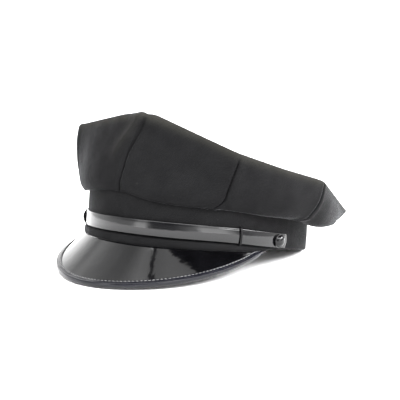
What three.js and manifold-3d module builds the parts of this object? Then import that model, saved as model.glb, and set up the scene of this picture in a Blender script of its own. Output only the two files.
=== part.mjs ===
// Chauffeur cap with an eight-point cloth crown.
//
// Millimetres, +Z up. The cap lies the way it rests by itself: on the front of
// its peak and on the back of its band, so it pitches nose up. The wearer's
// front is -Y and the wearer's left is +X. The origin is under the middle of
// its box, on the surface that it rests on.
//
// Each shape is worked out in the cap's own frame first. There the band's
// lower edge lies in the plane z = 0, the axis of the head is Z, and a place
// round the cap is its angle from the front, positive towards the wearer's left.
// rested() then tips that frame and sets it down.
import * as THREE from 'three';
import { mergeVertices } from 'three/addons/utils/BufferGeometryUtils.js';
import Module from 'manifold-3d';

const wasm = await Module();
wasm.setup();

// ---- driving dimensions ----
const GAP = 0.3;            // clearance between pieces that are sewn together
const CLOTH = 1.6;          // crown cloth with its interlining
const BAND_HALF_LENGTH = 99.5;
const BAND_HALF_WIDTH = 84.5;
const BAND_FULLNESS = 4.0;  // extra behind the ears, where a head is widest
const BAND_WALL = 2.6;      // two cloths over buckram
const ROLL_OUT = 2.0;       // how far the band's lower roll stands proud
const PEAK_REACH = 33.3;    // forward of the band at the centre
const PEAK_DROP = 28.6;     // below the band's lower edge at the centre
const PEAK_HALF_ANGLE = 77.3;
const PEAK_SHEET = 2.0;
const PEAK_CROWNING = -1.5; // how far the sheet swells above a straight slope; below zero it dips
const NOSE_ROUNDING = 0.225; // of the half angle
const REACH_POWER = 1.29;   // how the reach falls off beyond it
const DROP_POWER = 1.73;
const BINDING_WIDTH = 3.2;
const BINDING_WALL = 0.8;
const STRAP_WIDTH = 10.8;
const STRAP_EDGE = 0.9;
const STRAP_MIDDLE = 1.7;
const STRAP_STANDOFF = 1.25;
const STRAP_END_ANGLE = 84.4;
const KEEPER_ANGLE = 54.0;        // on the wearer's left
const KEEPER_ANGLE_RIGHT = 37.0;  // the loops slide, and the right one stands nearer the front
const KEEPER_WIDTH = 2.2;
const KEEPER_WALL = 0.65;
const BUTTON_ANGLE = 77.6;
const BUTTON_RADIUS = 5.0;
const BUTTON_HEIGHT = 4.3;
const SHANK_RADIUS = 1.4;
const SHOULDER = 5.5;       // rounding where the side turns into the top
const TOP_CENTRE_Z = 57;
const PITCH = 7.2;          // degrees, nose up
const SINK = 0.3;           // how far the band's plane runs into the surface at the back

// The eight seams of the crown's side, one at each point: the angle where it
// meets the point, and how many degrees nearer the front it is where it is sewn
// to the band.
const SEAMS = [
  { name: 'front', at: 0, lean: 0 },
  { name: 'left_front', at: 46.9, lean: 3.6 },
  { name: 'left', at: 92, lean: 3.0 },
  { name: 'left_back', at: 135, lean: 1.5 },
  { name: 'back', at: 180, lean: 0 },
  { name: 'right_back', at: 225, lean: -1.5 },
  { name: 'right', at: 270, lean: -3.0 },
  { name: 'right_front', at: 315, lean: -3.0 },
];

// The point line, where side and top meet: distance from the axis and height.
// It runs straight between rows. The rows between two points are where the
// cloth slumps off the straight run; the wearer's left has slumped further.
const POINT_LINE = [
  { at: 0, r: 83.6, z: 96.0 },
  { at: 8, r: 83.2, z: 94.9 },
  { at: 25, r: 89.4, z: 85.4 },
  { at: 46.9, r: 111.5, z: 69.9 },
  { at: 68, r: 106.6, z: 60.6 },
  { at: 92, r: 110.4, z: 53.4 },
  { at: 135, r: 131, z: 27.4 },
  { at: 180, r: 120, z: 26.5 },
  { at: 225, r: 128, z: 30 },
  { at: 270, r: 109, z: 59 },
  { at: 292, r: 103.0, z: 74.0 },
  { at: 315, r: 104.2, z: 85.5 },
  { at: 336, r: 89.2, z: 90.3 },
];

// The crown's side, from where it leaves the band to the point line. All
// distances are outward from the band's face. rise: height of the sewn edge
// above the lowest roll of cloth. sag: lowest roll. knee: where the side turns
// up. swell: bulge halfway between the knee and the point line.
const SIDE = [
  { at: 0, rise: 1.2, sagOut: 1.5, sagZ: 35.4, kneeOut: 2.9, kneeZ: 41.5, swell: 0.4 },
  { at: 12, rise: 1.3, sagOut: 1.6, sagZ: 31.2, kneeOut: 4.2, kneeZ: 37.0, swell: 2.0 },
  { at: 24, rise: 1.4, sagOut: 1.8, sagZ: 28.8, kneeOut: 5.2, kneeZ: 34.4, swell: 2.4 },
  { at: 46.9, rise: 1.6, sagOut: 2.0, sagZ: 27.2, kneeOut: 5.8, kneeZ: 33.0, swell: 1.2 },
  { at: 68, rise: 2.2, sagOut: 3.2, sagZ: 23.6, kneeOut: 9.5, kneeZ: 28.6, swell: 2.6 },
  { at: 90, rise: 4.6, sagOut: 5.5, sagZ: 20.4, kneeOut: 13.0, kneeZ: 23.4, swell: 2.4 },
  { at: 100, rise: 8.0, sagOut: 8.0, sagZ: 15.6, kneeOut: 16.0, kneeZ: 18.4, swell: 2.4 },
  { at: 112, rise: 9.5, sagOut: 8.0, sagZ: 14.2, kneeOut: 19.0, kneeZ: 16.8, swell: 2.0 },
  { at: 135, rise: 9.2, sagOut: 9.0, sagZ: 15.5, kneeOut: 22.0, kneeZ: 17.8, swell: 1.0 },
  { at: 158, rise: 8.5, sagOut: 7.0, sagZ: 16.6, kneeOut: 15.5, kneeZ: 17.6, swell: 1.2 },
  { at: 180, rise: 7.5, sagOut: 5.5, sagZ: 18.8, kneeOut: 12.0, kneeZ: 19.2, swell: 1.0 },
  { at: 202, rise: 7.5, sagOut: 7.0, sagZ: 18.8, kneeOut: 15.5, kneeZ: 19.4, swell: 1.2 },
  { at: 225, rise: 7.5, sagOut: 9.5, sagZ: 18.6, kneeOut: 20.5, kneeZ: 19.2, swell: 1.4 },
  { at: 248, rise: 6.0, sagOut: 8.5, sagZ: 20.6, kneeOut: 17.5, kneeZ: 23.6, swell: 2.4 },
  { at: 270, rise: 3.6, sagOut: 5.5, sagZ: 24.6, kneeOut: 12.5, kneeZ: 29.2, swell: 2.8 },
  { at: 292, rise: 2.2, sagOut: 3.2, sagZ: 27.6, kneeOut: 9.0, kneeZ: 32.8, swell: 2.4 },
  { at: 315, rise: 1.6, sagOut: 2.0, sagZ: 30.2, kneeOut: 6.9, kneeZ: 36.6, swell: 1.0 },
  { at: 338, rise: 1.4, sagOut: 1.7, sagZ: 32.6, kneeOut: 5.0, kneeZ: 38.8, swell: 2.4 },
];

// The top between the points: camber is its height over a straight slope from
// the centre to the edge, halfway out.
const TOP = [
  { at: 0, camber: -2.0 }, { at: 45, camber: -3.0 }, { at: 90, camber: -1.0 },
  { at: 135, camber: 2.0 }, { at: 180, camber: 4.6 }, { at: 225, camber: 2.0 },
  { at: 270, camber: -1.0 }, { at: 315, camber: -3.0 },
];

// The band's lower edge. In front it lies in one plane with the peak's seam.
// Behind, the soft band has settled until it lies along the surface.
const BAND_FOOT = [
  { at: 0, z: 0 }, { at: 60, z: 0 }, { at: 78, z: 0 }, { at: 92, z: -0.9 }, { at: 105, z: -2.5 },
  { at: 118, z: -4.3 }, { at: 132, z: -5.2 }, { at: 180, z: -3.0 },
];

// The band's upper edge, hidden inside the crown.
const BAND_TOP = [
  { at: 0, z: 39.6 }, { at: 46, z: 35.6 }, { at: 92, z: 31.5 },
  { at: 180, z: 30.4 }, { at: 268, z: 31.5 }, { at: 314, z: 36.0 },
];

// The strap's centre line over the band, measured on the wearer's left and the
// same on the right.
const STRAP_LINE = [
  { at: 0, z: 12.9 }, { at: 26, z: 12.4 }, { at: 40, z: 11.9 },
  { at: 52, z: 10.9 }, { at: 65, z: 9.1 }, { at: 81, z: 7.2 }, { at: 90, z: 6.2 },
];

// One soft fold in the right front panel, beside the centre front seam.
const FOLD = { at: -9.5, halfWidth: 5.0, height: 2.4, lowZ: 50, highZ: 96 };

// ---- small maths ----
const RAD = Math.PI / 180;
const lerp = (a, b, s) => a + (b - a) * s;
const clamp = (x, lo, hi) => Math.min(hi, Math.max(lo, x));
const smooth = (x) => { const s = clamp(x, 0, 1); return s * s * (3 - 2 * s); };

// Smooth value of one column of a table at an angle. Closed tables wrap at 360.
function column(rows, key, angle, closed = true) {
  const n = rows.length;
  let t = closed ? ((angle % 360) + 360) % 360 : clamp(angle, rows[0].at, rows[n - 1].at);
  let i = 0;
  while (i < n - 1 && rows[i + 1].at <= t) i += 1;
  if (!closed && i === n - 1) i = n - 2;
  const row = (k) => {
    if (!closed) { const c = clamp(k, 0, n - 1); return [rows[c].at, rows[c][key]]; }
    const w = Math.floor(k / n);
    return [rows[k - w * n].at + 360 * w, rows[k - w * n][key]];
  };
  const [x0, y0] = row(i - 1), [x1, y1] = row(i), [x2, y2] = row(i + 1), [x3, y3] = row(i + 2);
  const h = x2 - x1, s = (t - x1) / h;
  const m1 = x2 > x0 ? (y2 - y0) / (x2 - x0) : 0;
  const m2 = x3 > x1 ? (y3 - y1) / (x3 - x1) : 0;
  const s2 = s * s, s3 = s2 * s;
  return (2 * s3 - 3 * s2 + 1) * y1 + (s3 - 2 * s2 + s) * h * m1
    + (-2 * s3 + 3 * s2) * y2 + (s3 - s2) * h * m2;
}

// Distance from the axis to the band's outer face at an angle.
function bandRadius(angle) {
  const s = Math.sin(angle * RAD), c = Math.cos(angle * RAD);
  return 1 / Math.hypot(s / BAND_HALF_WIDTH, c / BAND_HALF_LENGTH)
    + BAND_FULLNESS * s * s * Math.max(0, -c);
}

const polar = (angle, r, z) => new THREE.Vector3(
  r * Math.sin(angle * RAD), -r * Math.cos(angle * RAD), z);

// Outward direction of the band's face in plan.
function bandNormal(angle) {
  const a = polar(angle - 0.5, bandRadius(angle - 0.5), 0);
  const b = polar(angle + 0.5, bandRadius(angle + 0.5), 0);
  return new THREE.Vector3(b.y - a.y, a.x - b.x, 0).normalize();
}

// A point at a distance off the band's face.
const offBand = (angle, out, z) =>
  polar(angle, bandRadius(angle), z).addScaledVector(bandNormal(angle), out);

// ---- the resting frame ----
const BACK_DROP = BAND_HALF_LENGTH * Math.sin(PITCH * RAD) - SINK;
let shiftY = 0;
function rested(p) {
  const c = Math.cos(PITCH * RAD), s = Math.sin(PITCH * RAD);
  const z = p.z * c - p.y * s + BACK_DROP;
  return new THREE.Vector3(p.x, p.y * c + p.z * s + shiftY, Math.max(z, 0));
}

// ---- solids from two matching skins ----
// outer[i][j] and inner[i][j] are the two faces of a wall. closed joins the
// last section to the first; pole draws the last row together in one point.
function wall(outer, inner, { closed = false, pole = false } = {}) {
  const ni = outer.length, nj = outer[0].length;
  const pos = [];
  const push = (p) => { pos.push(p.x, p.y, p.z); return pos.length / 3 - 1; };
  const ids = (grid) => {
    const tip = pole ? push(grid[0][nj - 1]) : -1;
    return grid.map((rowPts) => rowPts.map((p, j) => (pole && j === nj - 1 ? tip : push(p))));
  };
  const o = ids(outer), q = ids(inner);
  const tri = [];
  const add = (a, b, c) => { if (a !== b && b !== c && a !== c) tri.push(a, b, c); };
  const quad = (a, b, c, d) => { add(a, b, c); add(a, c, d); };
  const last = closed ? ni : ni - 1;
  for (let i = 0; i < last; i += 1) {
    const k = (i + 1) % ni;
    for (let j = 0; j < nj - 1; j += 1) {
      quad(o[i][j], o[k][j], o[k][j + 1], o[i][j + 1]);
      quad(q[i][j + 1], q[k][j + 1], q[k][j], q[i][j]);
    }
    quad(q[i][0], q[k][0], o[k][0], o[i][0]);
    if (!pole) quad(o[i][nj - 1], o[k][nj - 1], q[k][nj - 1], q[i][nj - 1]);
  }
  if (!closed) {
    for (let j = 0; j < nj - 1; j += 1) {
      quad(o[0][j], o[0][j + 1], q[0][j + 1], q[0][j]);
      quad(q[ni - 1][j], q[ni - 1][j + 1], o[ni - 1][j + 1], o[ni - 1][j]);
    }
  }
  return solid(pos, tri);
}

function solid(pos, tri) {
  let volume = 0;
  const v = (i) => new THREE.Vector3(pos[3 * i], pos[3 * i + 1], pos[3 * i + 2]);
  for (let i = 0; i < tri.length; i += 3) {
    volume += v(tri[i]).dot(v(tri[i + 1]).clone().cross(v(tri[i + 2])));
  }
  if (volume < 0) {
    for (let i = 0; i < tri.length; i += 3) [tri[i], tri[i + 1]] = [tri[i + 1], tri[i]];
  }
  const geometry = new THREE.BufferGeometry();
  geometry.setAttribute('position', new THREE.Float32BufferAttribute(pos, 3));
  geometry.setIndex(tri);
  geometry.computeVertexNormals();
  return geometry;
}

const restGrid = (grid) => grid.map((rowPts) => rowPts.map(rested));

// ---- crown ----
// The point line: straight runs between its rows, in plan and height.
function pointLineSharp(angle) {
  const t = ((angle % 360) + 360) % 360;
  let k = 0;
  while (k < POINT_LINE.length - 1 && POINT_LINE[k + 1].at <= t) k += 1;
  const a = POINT_LINE[k], b = POINT_LINE[(k + 1) % POINT_LINE.length];
  const p = polar(a.at, a.r, a.z), q = polar(b.at, b.r, b.z);
  const dx = Math.sin(t * RAD), dy = -Math.cos(t * RAD);
  // the run from p to q crosses the ray at this angle
  const s = clamp((p.y * dx - p.x * dy) / ((q.x - p.x) * dy - (q.y - p.y) * dx), 0, 1);
  const m = new THREE.Vector3().lerpVectors(p, q, s);
  return { r: Math.hypot(m.x, m.y), z: m.z };
}
function pointLine(angle) {
  const a = pointLineSharp(angle - 1.8), b = pointLineSharp(angle), c = pointLineSharp(angle + 1.8);
  return { r: (a.r + 2 * b.r + c.r) / 4, z: (a.z + 2 * b.z + c.z) / 4 };
}

function topHeight(angle, u) {
  // u is 0 at the centre and 1 on the point line
  const edge = pointLine(angle);
  return lerp(TOP_CENTRE_Z, edge.z, u) + column(TOP, 'camber', angle) * 4 * u * (1 - u);
}

const foldAt = (angle, z) => {
  const d = (((angle - FOLD.at + 540) % 360) - 180) / FOLD.halfWidth;
  return FOLD.height * Math.exp(-d * d) * smooth((z - FOLD.lowZ) / 18);
};

// One upright section of the side, from the sewn edge to the seam on the top,
// as distances from the axis and heights.
const SIDE_ROWS = 10;
function sideSection(angle) {
  const band = bandRadius(angle);
  const get = (key) => column(SIDE, key, angle);
  const sagZ = get('sagZ');
  const edge = pointLine(angle);
  const A = [band + GAP + 0.45, sagZ + get('rise')];
  const B = [band + get('sagOut'), sagZ];
  const K = [band + get('kneeOut'), get('kneeZ')];
  const swell = get('swell');
  const U = [edge.r, edge.z];
  // unit vectors down the side and in over the top, at the point line
  const sideLen = Math.hypot(K[0] - U[0], K[1] - U[1]);
  const down = [(K[0] - U[0]) / sideLen, (K[1] - U[1]) / sideLen];
  const uIn = 1 - SHOULDER / edge.r;
  const round = Math.min(SHOULDER, sideLen * 0.35);
  const Ua = [U[0] + down[0] * round, U[1] + down[1] * round];
  const Ub = [edge.r * uIn, topHeight(angle, uIn)];
  // across the side, square to the line from the knee to the point line
  const out = [down[1] > 0 ? down[1] : -down[1], down[1] > 0 ? -down[0] : down[0]];
  const along = (s) => {
    const k = 4 * s * (1 - s) * swell;
    return [lerp(K[0], Ua[0], s) + out[0] * k, lerp(K[1], Ua[1], s) + out[1] * k];
  };
  const bend = (p, q, r, s) => [0, 1].map((i) =>
    (1 - s) ** 2 * p[i] + 2 * s * (1 - s) * q[i] + s * s * r[i]);
  const pts = [A, bend(A, B, K, 0.36), bend(A, B, K, 0.7), along(0.06), along(0.3),
    along(0.55), along(0.8), Ua, bend(Ua, U, Ub, 0.5), Ub];
  return pts.map(([r, z]) => [r + foldAt(angle, z) * smooth((r - 60) / 20), z]);
}

// Stations round the crown: each panel is cut at the same fractions.
const PANEL_CUTS = [0, 0.05, 0.22, 0.42, 0.62, 0.8, 0.95];
const stations = [], leans = [];
SEAMS.forEach((p, k) => {
  const next = k + 1 < SEAMS.length ? SEAMS[k + 1] : { ...SEAMS[0], at: 360 };
  PANEL_CUTS.forEach((f) => {
    stations.push(lerp(p.at, next.at, f));
    leans.push(lerp(p.lean, next.lean, f));
  });
});
const NS = stations.length;
// a leaning section takes each of its rows from the upright section there
const sideOuter = stations.map((t, i) => Array.from({ length: SIDE_ROWS }, (_, j) => {
  const at = t - leans[i] * (1 - smooth(j / (SIDE_ROWS - 3)));
  const [r, z] = sideSection(at)[j];
  return polar(at, r, z);
}));

// Rings of the top, from the seam with the side inwards to the centre.
const TOP_RINGS = [0.9, 0.74, 0.52, 0.28, 0];
const topOuter = stations.map((t, i) => {
  const edge = pointLine(t);
  const seam = sideOuter[i][SIDE_ROWS - 1];
  return [seam, ...TOP_RINGS.map((f) => {
    const u = f * (1 - SHOULDER / edge.r);
    return polar(t, edge.r * u, topHeight(t, u));
  })];
});

// Wall thickness: move every node of the joined skin against its normal.
const skin = stations.map((t, i) => [...sideOuter[i], ...topOuter[i].slice(1)]);
const NR = skin[0].length;
function skinNormal(i, j) {
  if (j === NR - 1) return new THREE.Vector3(0, 0.24, 1).normalize();
  const at = (a, b) => skin[(a + NS) % NS][clamp(b, 0, NR - 1)];
  const round = at(i + 1, j).clone().sub(at(i - 1, j));
  const up = at(i, j + 1).clone().sub(at(i, j - 1));
  return round.cross(up).normalize();
}
const inner = skin.map((col, i) => col.map((p, j) => p.clone().addScaledVector(skinNormal(i, j), -CLOTH)));
// the sewn edge lies flat against the band, so its inner face goes straight up
inner.forEach((col, i) => {
  const a = skin[i][0];
  col[0] = a.clone();
  col[0].z = a.z + CLOTH;
});

// ---- pieces ----
const group = new THREE.Group();
group.name = 'chauffeur_cap';
const cloth = { color: 0x1b1b1d, roughness: 0.92, metalness: 0 };
const patent = { color: 0x070708, roughness: 0.12, metalness: 0 };
const buttonFinish = { color: 0x050506, roughness: 0.08, metalness: 0 };
const pieces = [];
const piece = (name, geometry, look) => pieces.push({ name, geometry, look });

const alongRing = (i) => {
  const a = skin[(i + 1) % NS][3], b = skin[(i - 1 + NS) % NS][3];
  return a.clone().sub(b).setZ(0).normalize();
};

function crownPanel(k) {
  const from = k * PANEL_CUTS.length;
  const outerGrid = [], innerGrid = [];
  for (let m = 0; m <= PANEL_CUTS.length; m += 1) {
    const i = (from + m) % NS;
    const shift = m === 0 ? GAP / 2 : m === PANEL_CUTS.length ? -GAP / 2 : 0;
    const move = alongRing(i).multiplyScalar(shift);
    outerGrid.push(skin[i].slice(0, SIDE_ROWS).map((p) => p.clone().add(move)));
    innerGrid.push(inner[i].slice(0, SIDE_ROWS).map((p) => p.clone().add(move)));
  }
  return wall(restGrid(outerGrid), restGrid(innerGrid));
}
const PANEL_NAMES = ['crown_panel_left_of_front', 'crown_panel_left_side_front',
  'crown_panel_left_side_back', 'crown_panel_left_of_back', 'crown_panel_right_of_back',
  'crown_panel_right_side_back', 'crown_panel_right_side_front', 'crown_panel_right_of_front'];
PANEL_NAMES.forEach((name, k) => piece(name, crownPanel(k), cloth));

// The top, one piece, sewn just inside the points.
{
  const cut = (grid) => grid.map((col) => {
    const rows = col.slice(SIDE_ROWS - 1);
    const first = rows[0].clone();
    const inward = rows[1].clone().sub(rows[0]).normalize().multiplyScalar(GAP);
    return [first.add(inward), ...rows.slice(1)];
  });
  const tip = skin[0][NR - 1].clone();
  const topSkin = cut(skin).map((rows) => [...rows.slice(0, -1), tip]);
  const under = inner[0][NR - 1].clone();
  const topInner = cut(inner).map((rows) => [...rows.slice(0, -1), under]);
  piece('crown_top', wall(restGrid(topSkin), restGrid(topInner), { closed: true, pole: true }), cloth);
}

// The band: an upright oval wall with a soft roll along its lower edge in front.
const strapZ = (angle) => column(STRAP_LINE, 'z', Math.abs(angle), false);
const wrap = (angle) => (((angle + 540) % 360) - 180);
const BAND_STATIONS = 72;
{
  const outerGrid = [], innerGrid = [];
  for (let i = 0; i < BAND_STATIONS; i += 1) {
    const t = (360 * i) / BAND_STATIONS;
    const w = Math.abs(wrap(t));
    const rollTop = Math.max(1.6, strapZ(Math.min(w, 90)) - STRAP_WIDTH / 2 - 1.25);
    const roll = ROLL_OUT * (1 - smooth((w - 45) / 35));
    const top = column(BAND_TOP, 'z', t);
    const lean = -0.35 * (1 - smooth((w - 45) / 35));  // eases in behind the crown's lip
    const foot = column(BAND_FOOT, 'z', w, false);
    outerGrid.push([
      offBand(t, 0, foot), offBand(t, roll * 0.7, rollTop * 0.08), offBand(t, roll, rollTop * 0.45),
      offBand(t, roll * 0.7, rollTop * 0.85), offBand(t, 0, rollTop), offBand(t, 0, top * 0.6),
      offBand(t, lean, top)]);
    innerGrid.push([foot, ...[0.08, 0.45, 0.85, 1].map((f) => rollTop * f), top * 0.6, top]
      .map((z) => offBand(t, -BAND_WALL, z)));
  }
  piece('band', wall(restGrid(outerGrid), restGrid(innerGrid), { closed: true }), cloth);
}

// The peak: a moulded sheet that starts under the band's lower edge, dips a
// little below a straight slope and falls to its rim. along runs from -1 to 1 over its half angles.
function peakEdge(along) {
  const a = Math.abs(along), e = NOSE_ROUNDING;
  const fall = (Math.hypot(a, e) - e) / (Math.hypot(1, e) - e);
  return { reach: PEAK_REACH * (1 - fall) ** REACH_POWER, drop: PEAK_DROP * (1 - a ** DROP_POWER) };
}
const PEAK_STATIONS = 47;
const PEAK_END = 0.985;     // the sheet's last sections, of the half angle
const BINDING_END = 0.87;
const PEAK_ROWS = [0, 0.12, 0.3, 0.5, 0.7, 0.86, 1];
const peakAngle = (along) => {
  // even steps in the ellipse's own parameter, as an angle in plan
  const q = along * PEAK_HALF_ANGLE * RAD;
  return Math.atan2(BAND_HALF_WIDTH * Math.sin(q), BAND_HALF_LENGTH * Math.cos(q)) / RAD;
};
const RIM_BACK = 0.9;       // the sheet's own edge stops short of the binding
const RIM_UP = 2.5;
function peakSection(along) {
  const t = peakAngle(along);
  const { reach, drop } = peakEdge(along);
  const inMiddle = clamp((1 - Math.abs(along)) / 0.4, 0, 1);
  const startOut = lerp(-1.4, 0.6, inMiddle * inMiddle * (3 - 2 * inMiddle)), startZ = -GAP - 0.05;
  const endOut = Math.max(reach - RIM_BACK, 1.2), endZ = Math.min(-drop + RIM_UP, startZ - 0.9);
  const len = Math.hypot(endOut - startOut, endZ - startZ);
  const n = [(startZ - endZ) / len, (endOut - startOut) / len];
  const swell = PEAK_CROWNING * clamp(reach / PEAK_REACH, 0, 1) ** 2;
  return PEAK_ROWS.map((f) => {
    const k = 4 * f * (1 - f) * swell;
    return [lerp(startOut, endOut, f) + n[0] * k, Math.min(lerp(startZ, endZ, f) + n[1] * k, startZ)];
  });
}
const sheetNormal = (sec, j) => {
  const a = sec[Math.max(j - 1, 0)], b = sec[Math.min(j + 1, sec.length - 1)];
  const l = Math.hypot(b[0] - a[0], b[1] - a[1]);
  return [-(b[1] - a[1]) / l, (b[0] - a[0]) / l];
};
const peakStations = Array.from({ length: PEAK_STATIONS },
  (_, i) => PEAK_END * (-1 + (2 * i) / (PEAK_STATIONS - 1)));
{
  const outerGrid = [], innerGrid = [];
  for (const along of peakStations) {
    const t = peakAngle(along);
    const sec = peakSection(along);
    outerGrid.push(sec.map(([out, z]) => offBand(t, out, z)));
    innerGrid.push(sec.map(([out, z], j) => {
      const n = sheetNormal(sec, j);
      return offBand(t, out - n[0] * PEAK_SHEET, z - n[1] * PEAK_SHEET);
    }));
  }
  piece('peak', wall(restGrid(outerGrid), restGrid(innerGrid)), patent);
}

// The binding: a channel folded over the rim of the peak.
{
  const W = BINDING_WIDTH, g = GAP, w = BINDING_WALL, s = PEAK_SHEET;
  const outerPath = [[-W, g + w], [0.1, g + w], [1.1, -0.1], [1.1, -s + 0.1], [0.1, -s - g - w], [-W, -s - g - w]];
  const innerPath = [[-W, g], [g - 0.1, g], [g, 0.1], [g, -s - 0.1], [g - 0.1, -s - g], [-W, -s - g]];
  const outerGrid = [], innerGrid = [];
  for (const along of peakStations.filter((a) => Math.abs(a) < BINDING_END)) {
    const t = peakAngle(along);
    const sec = peakSection(along);
    const last = sec.length - 1;
    const nrm = sheetNormal(sec, last);
    const dir = [nrm[1], -nrm[0]];
    const place = ([u, v]) => offBand(t, sec[last][0] + dir[0] * u + nrm[0] * v,
      sec[last][1] + dir[1] * u + nrm[1] * v);
    outerGrid.push(outerPath.map(place));
    innerGrid.push(innerPath.map(place));
  }
  piece('peak_binding', wall(restGrid(outerGrid), restGrid(innerGrid)), patent);
}

// The strap: one patent strip round the front, from button to button.
const asManifold = (geometry) => {
  const g = geometry.clone();
  g.deleteAttribute('normal');
  const m = mergeVertices(g, 1e-4);
  return new wasm.Manifold(new wasm.Mesh({
    numProp: 3,
    vertProperties: new Float32Array(m.attributes.position.array),
    triVerts: new Uint32Array(m.index.array),
  }));
};
const fromManifold = (body) => {
  const mesh = body.getMesh();
  const pos = [];
  for (let i = 0; i < mesh.numVert; i += 1) {
    pos.push(mesh.vertProperties[i * mesh.numProp], mesh.vertProperties[i * mesh.numProp + 1],
      mesh.vertProperties[i * mesh.numProp + 2]);
  }
  return solid(pos, Array.from(mesh.triVerts));
};
const STRAP_SECTION = [[-0.5, STRAP_EDGE], [-0.36, 1.35], [-0.15, STRAP_MIDDLE], [0.15, STRAP_MIDDLE],
  [0.36, 1.35], [0.5, STRAP_EDGE]];
function strapPlace(angle, across, out) {
  return offBand(angle, STRAP_STANDOFF + out, strapZ(angle) + across * STRAP_WIDTH);
}
// a turned piece whose axis stands on the band's face at an angle and height
function onBand(geometry, angle, z, out) {
  const nrm = bandNormal(angle);
  const q = new THREE.Quaternion().setFromUnitVectors(new THREE.Vector3(0, 1, 0), nrm);
  const p = offBand(angle, out, z);
  geometry.applyMatrix4(new THREE.Matrix4().compose(p, q, new THREE.Vector3(1, 1, 1)));
  const pos = geometry.attributes.position;
  for (let i = 0; i < pos.count; i += 1) {
    const r = rested(new THREE.Vector3().fromBufferAttribute(pos, i));
    pos.setXYZ(i, r.x, r.y, r.z);
  }
  geometry.deleteAttribute('uv');
  geometry.deleteAttribute('normal');
  const g = mergeVertices(geometry, 1e-4);
  g.computeVertexNormals();
  return g;
}
{
  const outerGrid = [], innerGrid = [];
  const n = 57;
  for (let i = 0; i < n; i += 1) {
    const t = lerp(-STRAP_END_ANGLE, STRAP_END_ANGLE, i / (n - 1));
    outerGrid.push(STRAP_SECTION.map(([across, out]) => strapPlace(t, across, out)));
    innerGrid.push(STRAP_SECTION.map(([across]) => strapPlace(t, across, 0)));
  }
  let body = asManifold(wall(restGrid(outerGrid), restGrid(innerGrid)));
  [1, -1].forEach((side) => {
    const drill = onBand(new THREE.CylinderGeometry(SHANK_RADIUS + GAP, SHANK_RADIUS + GAP, 12, 16),
      side * BUTTON_ANGLE, strapZ(BUTTON_ANGLE), 2);
    body = body.subtract(asManifold(drill));
  });
  piece('strap', fromManifold(body), patent);
}

// Keepers: thin loops round the strap.
function keeper(side) {
  const outerGrid = [], innerGrid = [];
  const halfTall = STRAP_WIDTH / 2 + GAP;
  const front = STRAP_MIDDLE + GAP, back = -GAP;
  const w = KEEPER_WALL;
  // round the loop: height off the strap's centre line, distance off its back
  const insideLoop = [[-halfTall, back], [-halfTall, STRAP_EDGE + GAP], [-halfTall * 0.45, front],
    [halfTall * 0.45, front], [halfTall, STRAP_EDGE + GAP], [halfTall, back]];
  const outsideLoop = [[-halfTall - w, back - w], [-halfTall - w, STRAP_EDGE + GAP + w * 0.5],
    [-halfTall * 0.5, front + w], [halfTall * 0.5, front + w],
    [halfTall + w, STRAP_EDGE + GAP + w * 0.5], [halfTall + w, back - w]];
  const t0 = side > 0 ? KEEPER_ANGLE : -KEEPER_ANGLE_RIGHT;
  const half = KEEPER_WIDTH / 2 / bandRadius(t0) / RAD;
  const at = (loop) => loop.map(([up, out]) => [t0 - half, t0 + half].map((t) =>
    offBand(t, STRAP_STANDOFF + out, strapZ(t0) + up)));
  at(outsideLoop).forEach((r) => outerGrid.push(r));
  at(insideLoop).forEach((r) => innerGrid.push(r));
  return wall(restGrid(outerGrid), restGrid(innerGrid), { closed: true });
}
piece('keeper_left', keeper(1), patent);
piece('keeper_right', keeper(-1), patent);

// Buttons: a domed face, a turned edge and a shank through the strap.
function button(side) {
  const face = STRAP_STANDOFF + STRAP_MIDDLE + GAP;
  const R = BUTTON_RADIUS, H = BUTTON_HEIGHT;
  const profile = [[0, GAP - face + 0.1], [SHANK_RADIUS, GAP - face + 0.1], [SHANK_RADIUS, 0],
    [R * 0.93, 0], [R, 0.45], [R, 1.0], [R * 0.9, H * 0.6], [R * 0.66, H * 0.84], [R * 0.34, H * 0.96], [0, H]]
    .map(([x, y]) => new THREE.Vector2(x, y));
  return onBand(new THREE.LatheGeometry(profile, 20), side * BUTTON_ANGLE, strapZ(BUTTON_ANGLE), face);
}
piece('button_left', button(1), buttonFinish);
piece('button_right', button(-1), buttonFinish);

// ---- set the cap down with its box centred on the origin ----
const box = new THREE.Box3();
pieces.forEach(({ geometry }) => {
  geometry.computeBoundingBox();
  box.union(geometry.boundingBox);
});
const centre = box.getCenter(new THREE.Vector3());
pieces.forEach(({ name, geometry, look }) => {
  const pos = geometry.attributes.position;
  for (let i = 0; i < pos.count; i += 1) {
    pos.setXYZ(i, pos.getX(i) - centre.x, pos.getY(i) - centre.y, pos.getZ(i) - box.min.z);
  }
  geometry.computeVertexNormals();
  const mesh = new THREE.Mesh(geometry, new THREE.MeshStandardMaterial(look));
  mesh.name = name;
  group.add(mesh);
});

export default group;
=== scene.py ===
import math

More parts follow.
